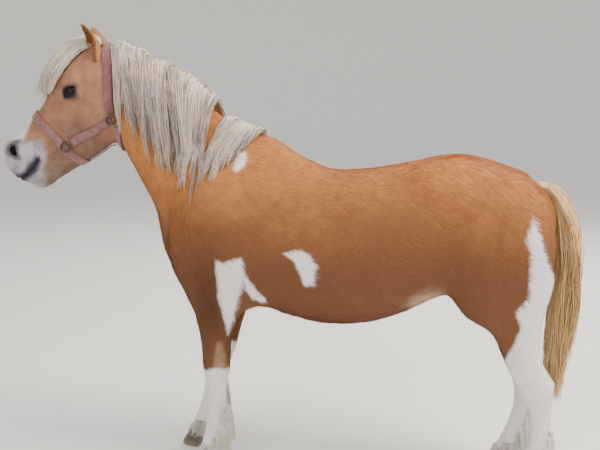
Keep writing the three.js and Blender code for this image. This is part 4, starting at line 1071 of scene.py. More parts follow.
def strand_tree() -> GeometryTree:
    """The tree that turns drawn lines into tapered strands."""
    g = GeometryTree("spin_strands")
    sides, material = g.take("Sides", "Int"), g.take("Material", "Material")
    line = g.one("GeometryNodeMeshToCurve", {0: g.entry.outputs[0]})
    ring = g.one("GeometryNodeCurvePrimitiveCircle", {"Resolution": sides, "Radius": 1.0})
    around = g.sum("DIVIDE", g.one("GeometryNodeInputIndex"), 4.0)
    marked = g.store(ring, "around", around)
    spun = g.one(
        "GeometryNodeCurveToMesh",
        {"Curve": line, "Profile Curve": marked, "Scale": g.named("radius"), "Fill Caps": True},
    )
    soft = g.one("GeometryNodeSetShadeSmooth", {"Geometry": spun, "Shade Smooth": True})
    g.finish(soft, g.combined(g.named("along"), g.named("around")), material)
    return g


# The coat's map and its markings


@dataclass(frozen=True)
class Sheet:
    """One region of the coat's map: a rectangle that a limb is unrolled onto."""

    corner: tuple[float, float]
    size: tuple[float, float]
    start: float = 0
    stop: float = 1

    def at(self, u: Numbers, v: Numbers) -> Numbers:
        """The map's coordinates by the shares of the way across and up the sheet."""
        return rows(self.corner[0] + self.size[0] * u, self.corner[1] + self.size[1] * v)


class CoatMap:
    """Unrolls the pony's skin, limb by limb, onto a square from 0 to 1."""

    TORSO = Sheet((0.01, 0.01), (0.48, 0.62), -620, 620)
    NECK = Sheet((0.51, 0.01), (0.24, 0.5), -40, 600)
    HEAD = Sheet((0.77, 0.01), (0.22, 0.36), -60, 490)
    FEET = tuple(Sheet((u, 0.65), (0.2, 0.33), 0, 600) for u in (0.01, 0.23, 0.45, 0.67))
    EARS = Sheet((0.78, 0.4), (0.2, 0.1))
    HAIR = Sheet((0.78, 0.52), (0.2, 0.1))

    @classmethod
    def region(cls, p: Points) -> Numbers:
        """Which sheet each point is on: 0 torso, 1 neck, 2 head, 3 to 6 the legs."""
        kind = np.zeros(len(p), int)
        (x, z), (rise, run) = SHOULDER
        kind[(p[:, 0] - x) * rise + (p[:, 2] - z) * run > 0] = 1
        kind[p[:, 0] < HEAD_START] = 2
        for n, leg in enumerate(LEGS):
            own = (p[:, 1] * leg.side > 0) & (p[:, 2] < (470 if leg.fore else 528))
            own &= (p[:, 0] < -200) if leg.fore else (p[:, 0] > 200)
            kind[own] = 3 + n
        return kind

    @classmethod
    def unroll(cls, p: Points, kind: Numbers) -> tuple[Numbers, Numbers]:
        """How far along its limb each point is, and its turn round the limb from -0.5 to 0.5."""
        along, turn = np.zeros(len(p)), np.zeros(len(p))
        for k in np.unique(kind):
            at = kind == k
            x, y, z = p[at].T
            if k == 0:
                s, up, side = x, z - 720, y
            elif k == 1:
                dx, dz = x - NECK_BASE[0], z - NECK_BASE[1]
                s = dx * NECK_AXIS[0] + dz * NECK_AXIS[1]
                up, side = dx * NECK_AXIS[1] - dz * NECK_AXIS[0], y
            elif k == 2:
                s, off = head_place(p[at])
                up, side = off + 80, y
            else:
                leg = LEGS[k - 3]
                low, high = leg.mass.at(z)[:, :2].T
                s, up, side = z, -(x - leg.slide(z) - (low + high) / 2), y - leg.middle(z)
            along[at], turn[at] = s, np.arctan2(side, up) / (2 * math.pi)
        return along, turn

    @classmethod
    def spot(cls, along: Numbers, turn: Numbers, kind: Numbers) -> Numbers:
        """The map's coordinates of unrolled points."""
        sheets = (cls.TORSO, cls.NECK, cls.HEAD, *cls.FEET)
        left, low, long, wide, start, stop = np.array(
            [[*s.corner, *s.size, s.start, s.stop] for s in sheets]
        )[kind].T
        u = left + long * np.clip((along - start) / (stop - start), 0, 1)
        return rows(u, low + wide * np.clip(turn + 0.5, 0, 1))

    @classmethod
    def lay(cls, obj: Piece, p: Points) -> None:
        """Gives a skin its map, with no face split across a sheet's edge.

        Args:
            obj: the skin.
            p: its points in the maker's frame.
        """
        corners, sizes = corners_of(obj), face_sizes(obj)
        face = np.repeat(np.arange(len(sizes)), sizes)
        middle = np.zeros((len(sizes), 3))
        np.add.at(middle, face, p[corners])
        middle /= sizes[:, None]
        kind = cls.region(middle)
        base = cls.unroll(middle, kind)[1]
        along, turn = cls.unroll(p[corners], kind[face])
        turn = turn - np.round(turn - base[face])
        set_map(obj, cls.spot(along, turn, kind[face]))
        set_vector(obj, "root_uv", rows(*skin_map(p).T, 0.0))


class Markings:
    """Where the coat is white, pale, dark or bare."""

    SHOULDER = (
        (-393, 679), (-369, 663), (-349, 675), (-314, 682), (-309, 633), (-328, 571), (-359, 490),
        (-378, 435), (-385, 493), (-391, 559), (-391, 621),
    )
    ELBOW = ((-314, 648), (-290, 607), (-255, 559), (-261, 542), (-295, 556), (-312, 588))
    BARREL = (
        (-194, 702), (-142, 713), (-116, 704), (-98, 672), (-103, 619), (-132, 614), (-141, 636),
        (-161, 679),
    )
    KNEE = ((-430, 320), (-424, 345), (-419, 385), (-412, 414), (-394, 420), (-386, 390), (-380, 320))
    THIGH = (
        (479, 824), (460, 760), (474, 720), (474, 596), (442, 562), (457, 509), (422, 410),
        (420, 330), (600, 330), (600, 420), (546, 647), (523, 690), (498, 772),
    )

    @staticmethod
    def within(x: Numbers, z: Numbers, outline: Iterable[tuple[float, float]]) -> Numbers:
        """How deep points lie within an outline in the upright plane, negative outside."""
        ring = (*outline, outline[0])
        depth = line_distance(x, z, ring)
        inside = np.zeros(len(x), bool)
        for (ax, az), (bx, bz) in zip(ring[:-1], ring[1:]):
            if az != bz:
                inside ^= ((az > z) != (bz > z)) & (x < ax + (z - az) / (bz - az) * (bx - ax))
        return np.where(inside, depth, -depth)

    @classmethod
    def read(cls, p: Points) -> dict[str, Numbers]:
        """Reads every marking at points of the skin.

        Args:
            p: points in the maker's frame.

        Returns:
            The markings by name: white in millimetres inside its edge, the others from 0 to 1.
        """
        x, y, z = p.T
        along, off = head_place(p)
        near = y < 0
        white = np.full(len(p), -60.0)
        for outline in (cls.SHOULDER, cls.ELBOW, cls.BARREL, cls.THIGH):
            depth = cls.within(x, z, outline)
            far = cls.within(x * 1.04 - 12, z + 22, outline) - 4
            white = np.maximum(white, np.where(near, depth, far))
        wave = 9 * np.sin(x / 14) + 7 * np.sin(y / 9 + 1)
        fore_line = np.where(near, 331, 350) + wave
        legs = np.where(x < 0, fore_line - z, 372 + wave - z)
        white = np.maximum(white, np.minimum(legs, 60))
        spot = 17 - np.hypot(x + 344 - 0.25 * (z - 948), 0.66 * (z - 948))
        white = np.maximum(white, np.where(near, spot, -60))
        on_head = (x < HEAD_START) & (z > 800)
        stripe = 23 + 8 * smooth((along - 280) / 80) - np.abs(y) + 4 * np.sin(along / 26)
        stripe = np.where(on_head & (off > 0) & (along > 20) & (along < 420), stripe, -60)
        white = np.maximum(white, stripe)
        flank = 1.1 * bell(x - 205, 56) * bell(z - 545, 48)
        line = 0.08 * bell(x - 200 - 0.06 * (935 - z), 30)
        line *= smooth((z - 560) / 60) * smooth((930 - z) / 90)
        belly = 0.45 * smooth((490 - z) / 40) * ((x > -330) & (x < 330))
        knee = 0.4 * near * smooth((cls.within(x, z, cls.KNEE) + 8) / 18)
        pale = np.clip(flank + line + belly + knee, 0, 1)
        pale = np.where(on_head, 0.08 + 0.4 * smooth((along - 310) / 80), pale)
        dark = 0.55 * bell(x + 420, 60) * bell(z - 540, 150)
        dark += on_head * (0.34 + 0.3 * smooth((along - 150) / 60) * smooth((-40 - off) / 60))
        upper = (along - 371 + 0.78 * (21 - off)) / 1.27
        nose = np.minimum(upper, (along - 248 + 1.26 * off) / 1.61)
        bare = smooth((nose + 4 * np.sin(off / 7)) / 34 + 0.4)
        bare = np.where(on_head, np.maximum(bare, 0.15), 0)
        mouth = line_distance(along, off, Face.MOUTH)
        lips = smooth((24 - mouth + 2 * np.sin(along / 9)) / 18) * smooth((along - 360) / 18)
        share = Face.nostril_share(p)
        rim = 0.75 * bell(share - 1.15, 0.45)
        slate = np.where(on_head, np.clip(0.95 * lips + rim, 0, 1), 0)
        eye = np.maximum(Face.eye_away(p), 0)
        slate = np.maximum(slate, 0.95 * bell(eye, 4.0))
        # darker round the eye: its dark skin, with painted shade under the brow
        dark = np.maximum(dark, bell(eye, 15.0))
        # painted shade deep in the nostrils, in the mouth's crease and round the rim of the eye's
        # opening
        hollow_shade = np.where(on_head, smooth((1.1 - share) / 0.3), 0)
        gap = 0.8 * on_head * bell(mouth, 1.4) * smooth((along - 368) / 12)
        hollow_shade = np.maximum(np.maximum(hollow_shade, gap), 0.8 * bell(eye, 1.1))
        return {
            "white": white,
            "pale": pale,
            "dark": np.clip(dark, 0, 1),
            "bare": bare,
            "slate": slate,
            "hollow_shade": hollow_shade,
        }


# The face


@dataclass(frozen=True)
class Frame:
    """A place with three axes square to each other."""

    middle: Points
    axes: Points  # rows: along, up and out

    def local(self, p: Points) -> Points:
        """Points as seen from the frame."""
        return (p - self.middle) @ self.axes.T

    def world(self, p: Points) -> Points:
        """Points of the frame in the maker's frame."""
        return p @ self.axes + self.middle


class Face:
    """The eyes' lids, the nostrils and the mouth, as the skin is drawn over them."""

    BALL = 23.2  # the eye's radius
    SINK = 14.8  # how deep its middle lies under the flesh
    LID = 25.3  # the lids' radius
    HALF = 21.0  # half the opening's width
    RISE = 17.5  # the opening's height over its middle line
    DROP = 14.5  # and its depth below
    MOUTH = ((366, -66), (386, -70), (406, -72), (430, -71), (456, -62), (476, -50))
    NOSTRIL = (11.5, 20.0)
    eyes: dict[int, Frame] = {}
    nostrils: dict[int, Frame] = {}

    @classmethod
    def set_up(cls) -> None:
        """Finds the frames of the eyes and nostrils."""
        for side in (-1, 1):
            inner = head_point(148, -27, side * 20)
            surface = leave(FLESH, inner[None], side * RIGHT, 200)[0]
            out = unit(np.array([-0.16, side, 0.1]))
            along = across(AHEAD + 0.1 * UP, out)
            up = np.cross(out, along) * -side
            cls.eyes[side] = Frame(surface - out * cls.SINK, np.array([along, up, out]))
            inner = head_point(406, 8, side * 10)
            surface = leave(FLESH, inner[None], side * RIGHT, 200)[0]
            out = unit(np.array([-0.5, side, 0.0]))
            up = across(np.array([-0.2, 0.0, 1.0]), out)
            cls.nostrils[side] = Frame(surface, np.array([np.cross(up, out), up, out]))

    @classmethod
    def edges(cls) -> tuple[Numbers, Numbers, Numbers]:
        """The upper and lower edges of the opening between the lids."""
        t = np.linspace(0, 1, 60)[:, None]
        start, end = np.array([-cls.HALF, 0.0]), np.array([cls.HALF, -2.0])

        def bow(*middle: float) -> Points:
            """An arc from corner to corner, drawn towards a middle."""
            return (1 - t) ** 2 * start + 2 * t * (1 - t) * np.array(middle) + t**2 * end

        high, low = bow(-3.0, cls.RISE * 1.7), bow(2.0, -cls.DROP * 1.9)
        a = np.linspace(-cls.HALF, cls.HALF, 80)
        return a, np.interp(a, high[:, 0], high[:, 1]), np.interp(a, low[:, 0], low[:, 1])

    @classmethod
    def opening(cls, q: Points) -> Numbers:
        """How far points of an eye's frame lie within the opening, negative outside."""
        a, high, low = cls.edges()
        top, bottom = np.interp(q[:, 0], a, high), np.interp(q[:, 0], a, low)
        inside = np.minimum(top - q[:, 1], q[:, 1] - bottom) * 0.8
        beyond = cls.HALF - np.abs(q[:, 0])
        outside = -np.hypot(beyond, np.minimum(inside, 0))
        return np.where(beyond < 0, outside, np.minimum(inside, beyond + 0.6))

    @classmethod
    def eye_away(cls, p: Points) -> Numbers:
        """How far points lie outside the nearer eye's opening, in millimetres."""
        best = np.full(len(p), 1e3)
        for frame in cls.eyes.values():
            q = frame.local(p)
            close = (np.linalg.norm(q, axis=1) < 60) & (q[:, 2] > 0)
            best[close] = -cls.opening(q[close])
        return best

    @classmethod
    def nostril_share(cls, p: Points) -> Numbers:
        """How far out points lie from the nearer nostril's middle, as a share of its size."""
        best = np.full(len(p), 9.0)
        for frame in cls.nostrils.values():
            q = frame.local(p)
            close = np.linalg.norm(q, axis=1) < 50
            bend = q[:, 0] - 0.012 * q[:, 1] ** 2
            share = np.hypot(bend / cls.NOSTRIL[0], q[:, 1] / cls.NOSTRIL[1])
            best[close] = np.minimum(best[close], share[close])
        return best

    @classmethod
    def skin(cls, p: Points) -> Numbers:
        """The field of the skin: the flesh under its coat, with the lids' domes."""
        f = FLESH(p) + Skin.depth(p)
        for frame in cls.eyes.values():
            q = p - frame.middle
            close = np.sum(q * q, axis=1) < 80**2
            if close.any():
                f[close] = join(f[close], np.linalg.norm(q[close], axis=1) - cls.LID, 9.0)
        return f

    @classmethod
    def carve(cls, p: Points) -> Points:
        """Presses the eyes' openings, the nostrils and the mouth into settled skin."""
        p = p.copy()
        for frame in cls.eyes.values():
            q = frame.local(p)
            away = np.linalg.norm(q, axis=1)
            close = (away < 46) & (q[:, 2] > 2)
            q, away = q[close], away[close]
            depth = cls.opening(q)
            ridge = 1.5 * bell(depth + 1.6, 1.7)
            crease = -1.7 * bell(depth + 6.4, 1.5) * smooth((q[:, 1] + 2) / 8)
            pouch = -0.9 * bell(depth + 6.0, 1.6) * smooth((-q[:, 1] - 2) / 6)
            reach = away + ridge + crease + pouch
            pocket = mix(reach, cls.BALL - 3.5, smooth(depth / 1.2 + 0.35))
            p[close] = frame.world(q * (pocket / away)[:, None])
        for side, frame in cls.nostrils.items():
            share = cls.nostril_share(p)
            close = (share < 3) & (p[:, 1] * side > 0)
            n = outward(FLESH, p[close])
            hole = -15.0 * np.sqrt(np.clip(1 - share[close] ** 2, 0, 1)) ** 0.8
            rim = 2.4 * bell(share[close] - 1.28, 0.24)
            p[close] += n * (hole + rim)[:, None]
        along, off = head_place(p)
        mouth = line_distance(along, off, cls.MOUTH)
        close = (mouth < 24) & (p[:, 0] < -800)
        n = outward(FLESH, p[close])
        groove = -4.2 * bell(mouth[close], 1.7)
        lips = 1.9 * bell(mouth[close] - 6.5, 4.2)
        p[close] += n * (groove + lips)[:, None]
        return p


# The skin and its coat


def cell_corners(grid: Numbers) -> Iterable[Numbers]:
    """Eight views of a grid, one for each corner of its cells."""
    a, b, c = (n - 1 for n in grid.shape)
    for i, j, k in np.ndindex(2, 2, 2):
        yield grid[i : i + a, j : j + b, k : k + c]


@dataclass
class Skin:
    """One skin from poll to hooves, as deep under the coat's tips as the coat is thick."""

    cell: float = 8.0
    low: tuple = (-1124.0, -248.0, -8.0)
    cells: tuple = (216, 64, 176)

    @staticmethod
    def depth(p: Points) -> Numbers:
        """How deep the skin lies under the coat's tips."""
        head = smooth((-680 - p[:, 0]) / 80) * smooth((p[:, 2] - 760) / 60)
        legs = smooth((520 - p[:, 2]) / 160)
        return mix(mix(6.5, 4.0, legs), 2.6, head)

    def surface(self) -> tuple[Points, Numbers]:
        """The skin's points and four-sided faces, by one vertex in each cell it crosses."""
        step = 4
        coarse = [low + self.cell * np.arange(0, n + 1, step) for low, n in zip(self.low, self.cells)]
        grid = np.stack(np.meshgrid(*coarse, indexing="ij"), axis=-1)
        rough = Face.skin(grid.reshape(-1, 3)).reshape(grid.shape[:3])
        fine = sum(np.abs(part) < 62 for part in cell_corners(rough)) > 0
        for axis in range(3):
            fine = np.repeat(fine, step, axis=axis)
        wanted = np.zeros([n + 1 for n in self.cells], bool)
        for part in cell_corners(wanted):
            part |= fine
        spots = [np.round(np.arange(n + 1) / step).astype(int) for n in self.cells]
        value = rough[np.ix_(*spots)]
        at = np.argwhere(wanted)
        places = np.array(self.low) + self.cell * at
        value[wanted] = np.concatenate([Face.skin(part) for part in np.array_split(places, 8)])
        return self.dual(value)

    def dual(self, value: Numbers) -> tuple[Points, Numbers]:
        """The dual mesh of a grid of values: one vertex a cell, one face an edge."""
        inside = value < 0
        count = sum(part.astype(np.int8) for part in cell_corners(inside))
        cells = np.argwhere((count > 0) & (count < 8))
        number = np.full(count.shape, -1, np.int64)
        number[tuple(cells.T)] = np.arange(len(cells))
        total, hits = np.zeros((len(cells), 3)), np.zeros(len(cells))
        edges = [(a, axis) for a in np.ndindex(2, 2, 2) for axis in range(3) if not a[axis]]
        for a, axis in edges:
            start = cells + a
            end = start + np.eye(3, dtype=int)[axis]
            va, vb = value[tuple(start.T)], value[tuple(end.T)]
            crossing = (va < 0) != (vb < 0)
            t = np.where(crossing, va / np.where(crossing, va - vb, 1), 0)
            total += (start + t[:, None] * (end - start)) * crossing[:, None]
            hits += crossing
        points = np.array(self.low) + self.cell * total / hits[:, None]
        faces = []
        around = (
            ((0, -1, -1), (0, 0, -1), (0, 0, 0), (0, -1, 0)),
            ((-1, 0, -1), (-1, 0, 0), (0, 0, 0), (0, 0, -1)),
            ((-1, -1, 0), (0, -1, 0), (0, 0, 0), (-1, 0, 0)),
        )
        for axis, ring in enumerate(around):
            first = np.take(inside, range(inside.shape[axis] - 1), axis=axis)
            second = np.take(inside, range(1, inside.shape[axis]), axis=axis)
            edges = np.argwhere(first != second)
            quad = np.stack([number[tuple((edges + r).T)] for r in ring], axis=1)
            out = first[tuple(edges.T)]
            quad[~out] = quad[~out][:, [0, 3, 2, 1]]
            faces.append(quad)
        return points, np.concatenate(faces)

    @staticmethod
    def relaxed(p: Points, faces: Numbers, rounds: int = 2) -> Points:
        """Evens out the mesh along its own surface."""
        pairs = np.concatenate([faces[:, [i, (i + 1) % 4]] for i in range(4)])
        for _ in range(rounds):
            total, hits = np.zeros_like(p), np.zeros(len(p))
            for a, b in ((0, 1), (1, 0)):
                np.add.at(total, pairs[:, a], p[pairs[:, b]])
                np.add.at(hits, pairs[:, a], 1)
            shift = total / np.maximum(hits, 1)[:, None] - p
            n = outward(Face.skin, p)
            p = p + 0.6 * (shift - n * np.sum(shift * n, axis=1, keepdims=True))
        return settle(Face.skin, p, 0.0, 2)

    @staticmethod
    def refined(bm: bmesh.types.BMesh, wanted: Field) -> None:
        """Splits the faces whose points are all wanted, and settles what is new."""
        p = np.array([v.co[:] for v in bm.verts])
        keep = wanted(p)
        bm.verts.index_update()
        edges = [e for e in bm.edges if keep[e.verts[0].index] and keep[e.verts[1].index]]
        bmesh.ops.subdivide_edges(bm, edges=edges, cuts=1, use_grid_fill=True)
        bm.verts.index_update()
        p = np.array([v.co[:] for v in bm.verts])
        new = wanted(p) | (np.arange(len(p)) >= len(keep))
        p[new] = settle(Face.skin, p[new], 0.0, 2)
        for v, co in zip(bm.verts, p.tolist()):
            v.co = co

    def build(self) -> Piece:
        """Makes the skin, finest round the eyes and on the muzzle."""
        p, faces = self.surface()
        p = settle(Face.skin, p, 0.0, 2)
        p = self.relaxed(p, faces)
        bm = bmesh.new()
        verts = [bm.verts.new(co) for co in p.tolist()]
        for quad in faces.tolist():
            bm.faces.new([verts[i] for i in quad])
        bm.verts.ensure_lookup_table()
        self.refined(bm, lambda q: (q[:, 0] < -730) & (q[:, 2] > 800))
        self.refined(bm, lambda q: (Face.eye_away(q) < 22) | (head_place(q)[0] > 352) & (q[:, 0] < -800))
        self.refined(bm, lambda q: Face.eye_away(q) < 13)
        mesh = bpy.data.meshes.new("skin")
        bm.to_mesh(mesh)
        bm.free()
        flat = np.zeros(len(mesh.vertices) * 3, np.float32)
        mesh.vertices.foreach_get("co", flat)
        rest = flat.reshape(-1, 3).astype(float)
        placed = Bench.place(Face.carve(rest))
        mesh.vertices.foreach_set("co", placed.astype(np.float32).ravel())
        mesh.shade_smooth()
        mesh.update()
        obj = set_in_scene("skin", mesh)
        self.dress(obj, rest)
        return obj

    def dress(self, obj: Piece, rest: Points) -> None:
        """Lays the map, the lie of the coat and the markings on the skin."""
        CoatMap.lay(obj, rest)
        marks = Markings.read(rest)
        set_vector(obj, "lie", turn_directions(rest, self.lie(rest)))
        for name, values in {**marks, **self.areas(rest, marks)}.items():
            set_number(obj, name, values)

    @staticmethod
    def lie(p: Points) -> Points:
        """Which way the coat lies: back along the body, down the neck, face and legs."""
        x, y, z = p.T
        flow = rows(0.9, 0.0, -0.35 - 0.25 * np.abs(y) / 200)
        neck = smooth((-330 - x) / 160)[:, None]
        flow = mix(flow, np.array([0.6, 0.0, -0.8]), neck)
        legs = smooth((620 - z) / 160)[:, None]
        flow = mix(flow, np.array([0.12, 0.0, -1.0]), legs * ((x < -250) | (x > 260))[:, None])
        head = (smooth((-700 - x) / 60) * smooth((z - 790) / 60))[:, None]
        flow = mix(flow, AHEAD, head)
        sway = rows(np.sin(z / 47 + y / 90), np.sin(x / 63 + z / 80), np.sin(x / 51 + y / 70))
        return unit(flow + 0.16 * sway)

    @staticmethod
    def areas(p: Points, marks: dict[str, Numbers]) -> dict[str, Numbers]:
        """Where each coat piece grows and how long it is."""
        kind = CoatMap.region(p)
        x, y, z = p.T
        along, off = head_place(p)
        own = (kind == 2) * (marks["slate"] < 0.5)
        chin = own * smooth((along - 330) / 50) * smooth((-80 - off) / 25)
        head = np.maximum(own * (1 - marks["bare"]) * (Face.eye_away(p) > 1.2), 0.8 * chin)
        foot = smooth((z - 42) / 12)
        fur = np.select([kind == 2, kind > 2], [0.62, 0.72], 1.0) + 1.7 * chin
        fur *= 1 + 0.35 * bell(x - 400, 160) * smooth((z - 780) / 120)
        fur *= 1 + 0.4 * smooth((560 - z) / 80) * (kind == 0)
        return {
            "fur": fur,
            "grow_left": (kind == 0) * (y < 0),
            "grow_right": (kind == 0) * (y >= 0),
            "grow_neck": kind == 1,
            "grow_head": head,
            "grow_fore": ((kind == 3) | (kind == 4)) * foot,
            "grow_hind": ((kind == 5) | (kind == 6)) * foot,
        }


@dataclass
class Coat:
    """The short coat's tufts, one piece for each part of the body."""

    tree: GeometryTree
    material: Finish

    INPUTS = ("Area", "Density", "Length", "Width", "Lift", "Seed")  # per square metre, in metres
    PLAN = (
        ("coat_torso_left", "grow_left", 44000.0, 0.0165, 0.0023, 0.15, 11),
        ("coat_torso_right", "grow_right", 44000.0, 0.0165, 0.0023, 0.15, 12),
        ("coat_neck", "grow_neck", 46000.0, 0.0165, 0.0023, 0.16, 13),
        ("coat_head", "grow_head", 110000.0, 0.0095, 0.0016, 0.13, 14),
        ("coat_legs_front", "grow_fore", 70000.0, 0.0135, 0.0020, 0.16, 15),
        ("coat_legs_hind", "grow_hind", 70000.0, 0.0135, 0.0020, 0.16, 16),
    )

    def plant(self, ground: Piece, name: str, *values: object) -> Piece:
        """Plants one piece on a copy of its ground.

        Args:
            ground: the skin that the piece grows on.
            name: the piece's name.
            values: the tree's inputs, in their order.

        Returns:
            The piece.
        """
        source = set_in_scene(name + "_ground", ground.data.copy())
        return self.tree.run(source, name, Material=self.material, **dict(zip(self.INPUTS, values)))

    def build(self, skin: Piece) -> list[Piece]:
        """Plants the coat on the skin with its markings."""
        return [self.plant(skin, *row) for row in self.PLAN]


# Long hair


@dataclass
class Locks:
    """Strands drawn together into locks, as rows of points from root to tip."""

    routes: Points  # lock, point, xyz
    spread: Points  # half a lock's width at its root, as a vector
    depth: Points  # half its thickness


def drape(
    root: Points,
    heading: Points,
    fall: Points,
    length: Numbers,
    steps: int,
    bend: float,
    lift: Callable[[float], Numbers],
    cling: float = 0.0,
) -> Points:
    """Hangs routes from the flesh, clear of it by their lift.

    Args:
        root: where each route starts on the flesh.
        heading: how each route sets off.
        fall: where each route turns to.
        length: each route's length.
        steps: how many steps a route takes.
        bend: how much of the fall each step takes on.
        lift: the clearance from the flesh by the share of the way.
        cling: how strongly a route that stands off is drawn in.

    Returns:
        The points of each route: route, point, xyz.
    """
    p = settle(FLESH, root, lift(0.0))
    route = [settle(FLESH, root, -5.0), p.copy()]
    h, fall = unit(heading), unit(fall)
    for i in range(1, steps + 1):
        h = unit(h * (1 - bend) + fall * bend)
        p = p + h * (length / steps)[:, None]
        want = lift(i / steps) * np.ones(len(p))
        f = FLESH(p)
        low = f < want
        if low.any():
            p[low] = settle(FLESH, p[low], want[low], 2)
        if cling > 0 and (~low).any():
            p[~low] = settle(FLESH, p[~low], mix(f, want, cling)[~low], 2)
        route.append(p.copy())
    return np.stack(route, axis=1)


def resampled(routes: Points, count: int) -> Points:
    """Reads routes at evenly shared points along a smooth curve through their own."""
    have = routes.shape[1]
    s = np.linspace(0, have - 1, count)
    i = np.minimum(s.astype(int), have - 2)
    t = (s - i)[None, :, None]
    first, last = 2 * routes[:, :1] - routes[:, 1:2], 2 * routes[:, -1:] - routes[:, -2:-1]
    padded = np.concatenate([first, routes, last], axis=1)
    a, b, c, d = (padded[:, i + k] for k in range(4))
    square, cube = 2 * a - 5 * b + 4 * c - d, 3 * b - a - 3 * c + d
    return 0.5 * (2 * b + (c - a) * t + square * t**2 + cube * t**3)


@dataclass
class Strands:
    """How a head of strands is spun from its locks."""

    name: str
    per_lock: int
    points: int
    radius: float  # millimetres
    gather: float  # how far a lock closes up towards its tip
    curl: float  # how far a strand wanders, in millimetres
    shortest: float  # the shortest strand's share of its lock
    seed: int
    clear: float = 1.5  # how far strands stay off the flesh, in millimetres
    taper: float = 0.75

    def spin(
        self,
        locks: Locks,
        map_at: Field,
        tree: GeometryTree,
        material: Finish,
    ) -> Piece:
        """Spins every strand round a line of its own.

        Args:
            locks: the locks that the strands follow.
            map_at: gives the coat map's coordinates at root points.
            tree: the tree that turns lines into strands.
            material: the strands' material.

        Returns:
            The piece.
        """
        roll = np.random.default_rng(self.seed)
        lines = resampled(locks.routes, self.points)
        count, per = len(lines), self.per_lock
        t = np.linspace(0, 1, self.points)
        a = roll.uniform(-1, 1, (count, per, 1, 1))
        b = roll.uniform(-1, 1, (count, per, 1, 1))
        spread, depth = (
            np.broadcast_to(v, (count, 3))[:, None, None] for v in (locks.spread, locks.depth)
        )
        share = (1 - self.gather * smooth(t * 1.1))[:, None]
        shift = a * spread * share + b * depth * (0.35 + 0.65 * share)
        phase = roll.uniform(0, 2 * np.pi, (count, per, 1, 3))
        rate = roll.uniform(1.5, 3.5, (count, per, 1, 1))
        wave = np.sin(phase + rate * 2 * np.pi * t[:, None] * 0.6)
        strands = lines[:, None] + shift + self.curl * wave * smooth(t * 3)[:, None]
        reach = t * roll.uniform(self.shortest, 1.0, (count, per, 1)) * (self.points - 1)
        i = np.minimum(reach.astype(int), self.points - 2)
        part = (reach - i)[..., None]
        low = np.take_along_axis(strands, i[..., None], axis=2)
        high = np.take_along_axis(strands, i[..., None] + 1, axis=2)
        strands = (low * (1 - part) + high * part).reshape(-1, self.points, 3)
        flat = strands[:, 2:].reshape(-1, 3)
        under = FLESH(flat) < self.clear
        if under.any():
            flat[under] = settle(FLESH, flat[under], self.clear, 2)
        strands[:, 2:] = flat.reshape(len(strands), -1, 3)
        tone = np.repeat(roll.uniform(0, 0.75, count), per) + roll.uniform(0, 0.35, count * per)
        thick = roll.uniform(0.7, 1.25, (count * per, 1))
        source = self.draw(strands, thick, tone, map_at(strands[:, 1]))
        return tree.run(source, self.name, Sides=3, Material=material)

    def draw(self, strands: Points, thick: Numbers, tone: Numbers, root: Numbers) -> Piece:
        """Makes bare lines from strands, with what the tree reads at their points.

        Args:
            strands: the strands' points: strand, point, xyz.
            thick: each strand's share of the radius.
            tone: each strand's tone.
            root: each strand's place on the coat's map.

        Returns:
            The object.
        """
        many, points = strands.shape[:2]
        first = (np.arange(many)[:, None] * points + np.arange(points - 1)).ravel()
        mesh = bpy.data.meshes.new(self.name + "_lines")
        placed = Bench.place(strands.reshape(-1, 3))
        mesh.from_pydata(placed.tolist(), rows(first, first + 1).tolist(), [])
        lines = set_in_scene(mesh.name, mesh)
        t = np.linspace(0, 1, points)
        shape = np.minimum(1, 0.6 + 3 * t) * np.maximum(1 - t, 0.02) ** (1 - self.taper)
        set_number(lines, "radius", (self.radius / 1000 * thick * shape).ravel())
        set_number(lines, "along", np.tile(t, many))
        set_number(lines, "tone", np.repeat(tone, points))
        set_vector(lines, "root_uv", np.repeat(rows(*root.T, 0.0), points, axis=0))
        return lines


def skin_map(p: Points) -> Numbers:
    """The coat map's coordinates at points on the flesh."""
    kind = CoatMap.region(p)
    return CoatMap.spot(*CoatMap.unroll(p, kind), kind)


def tail_map(p: Points) -> Numbers:
    """Coordinates for the tail's roots, on a part of the coat's map that nothing else uses."""
    turn = np.arctan2(p[:, 1], p[:, 0] - 540) / (2 * math.pi) + 0.5
    return CoatMap.HAIR.at(turn, np.clip((900 - p[:, 2]) / 220, 0, 1))


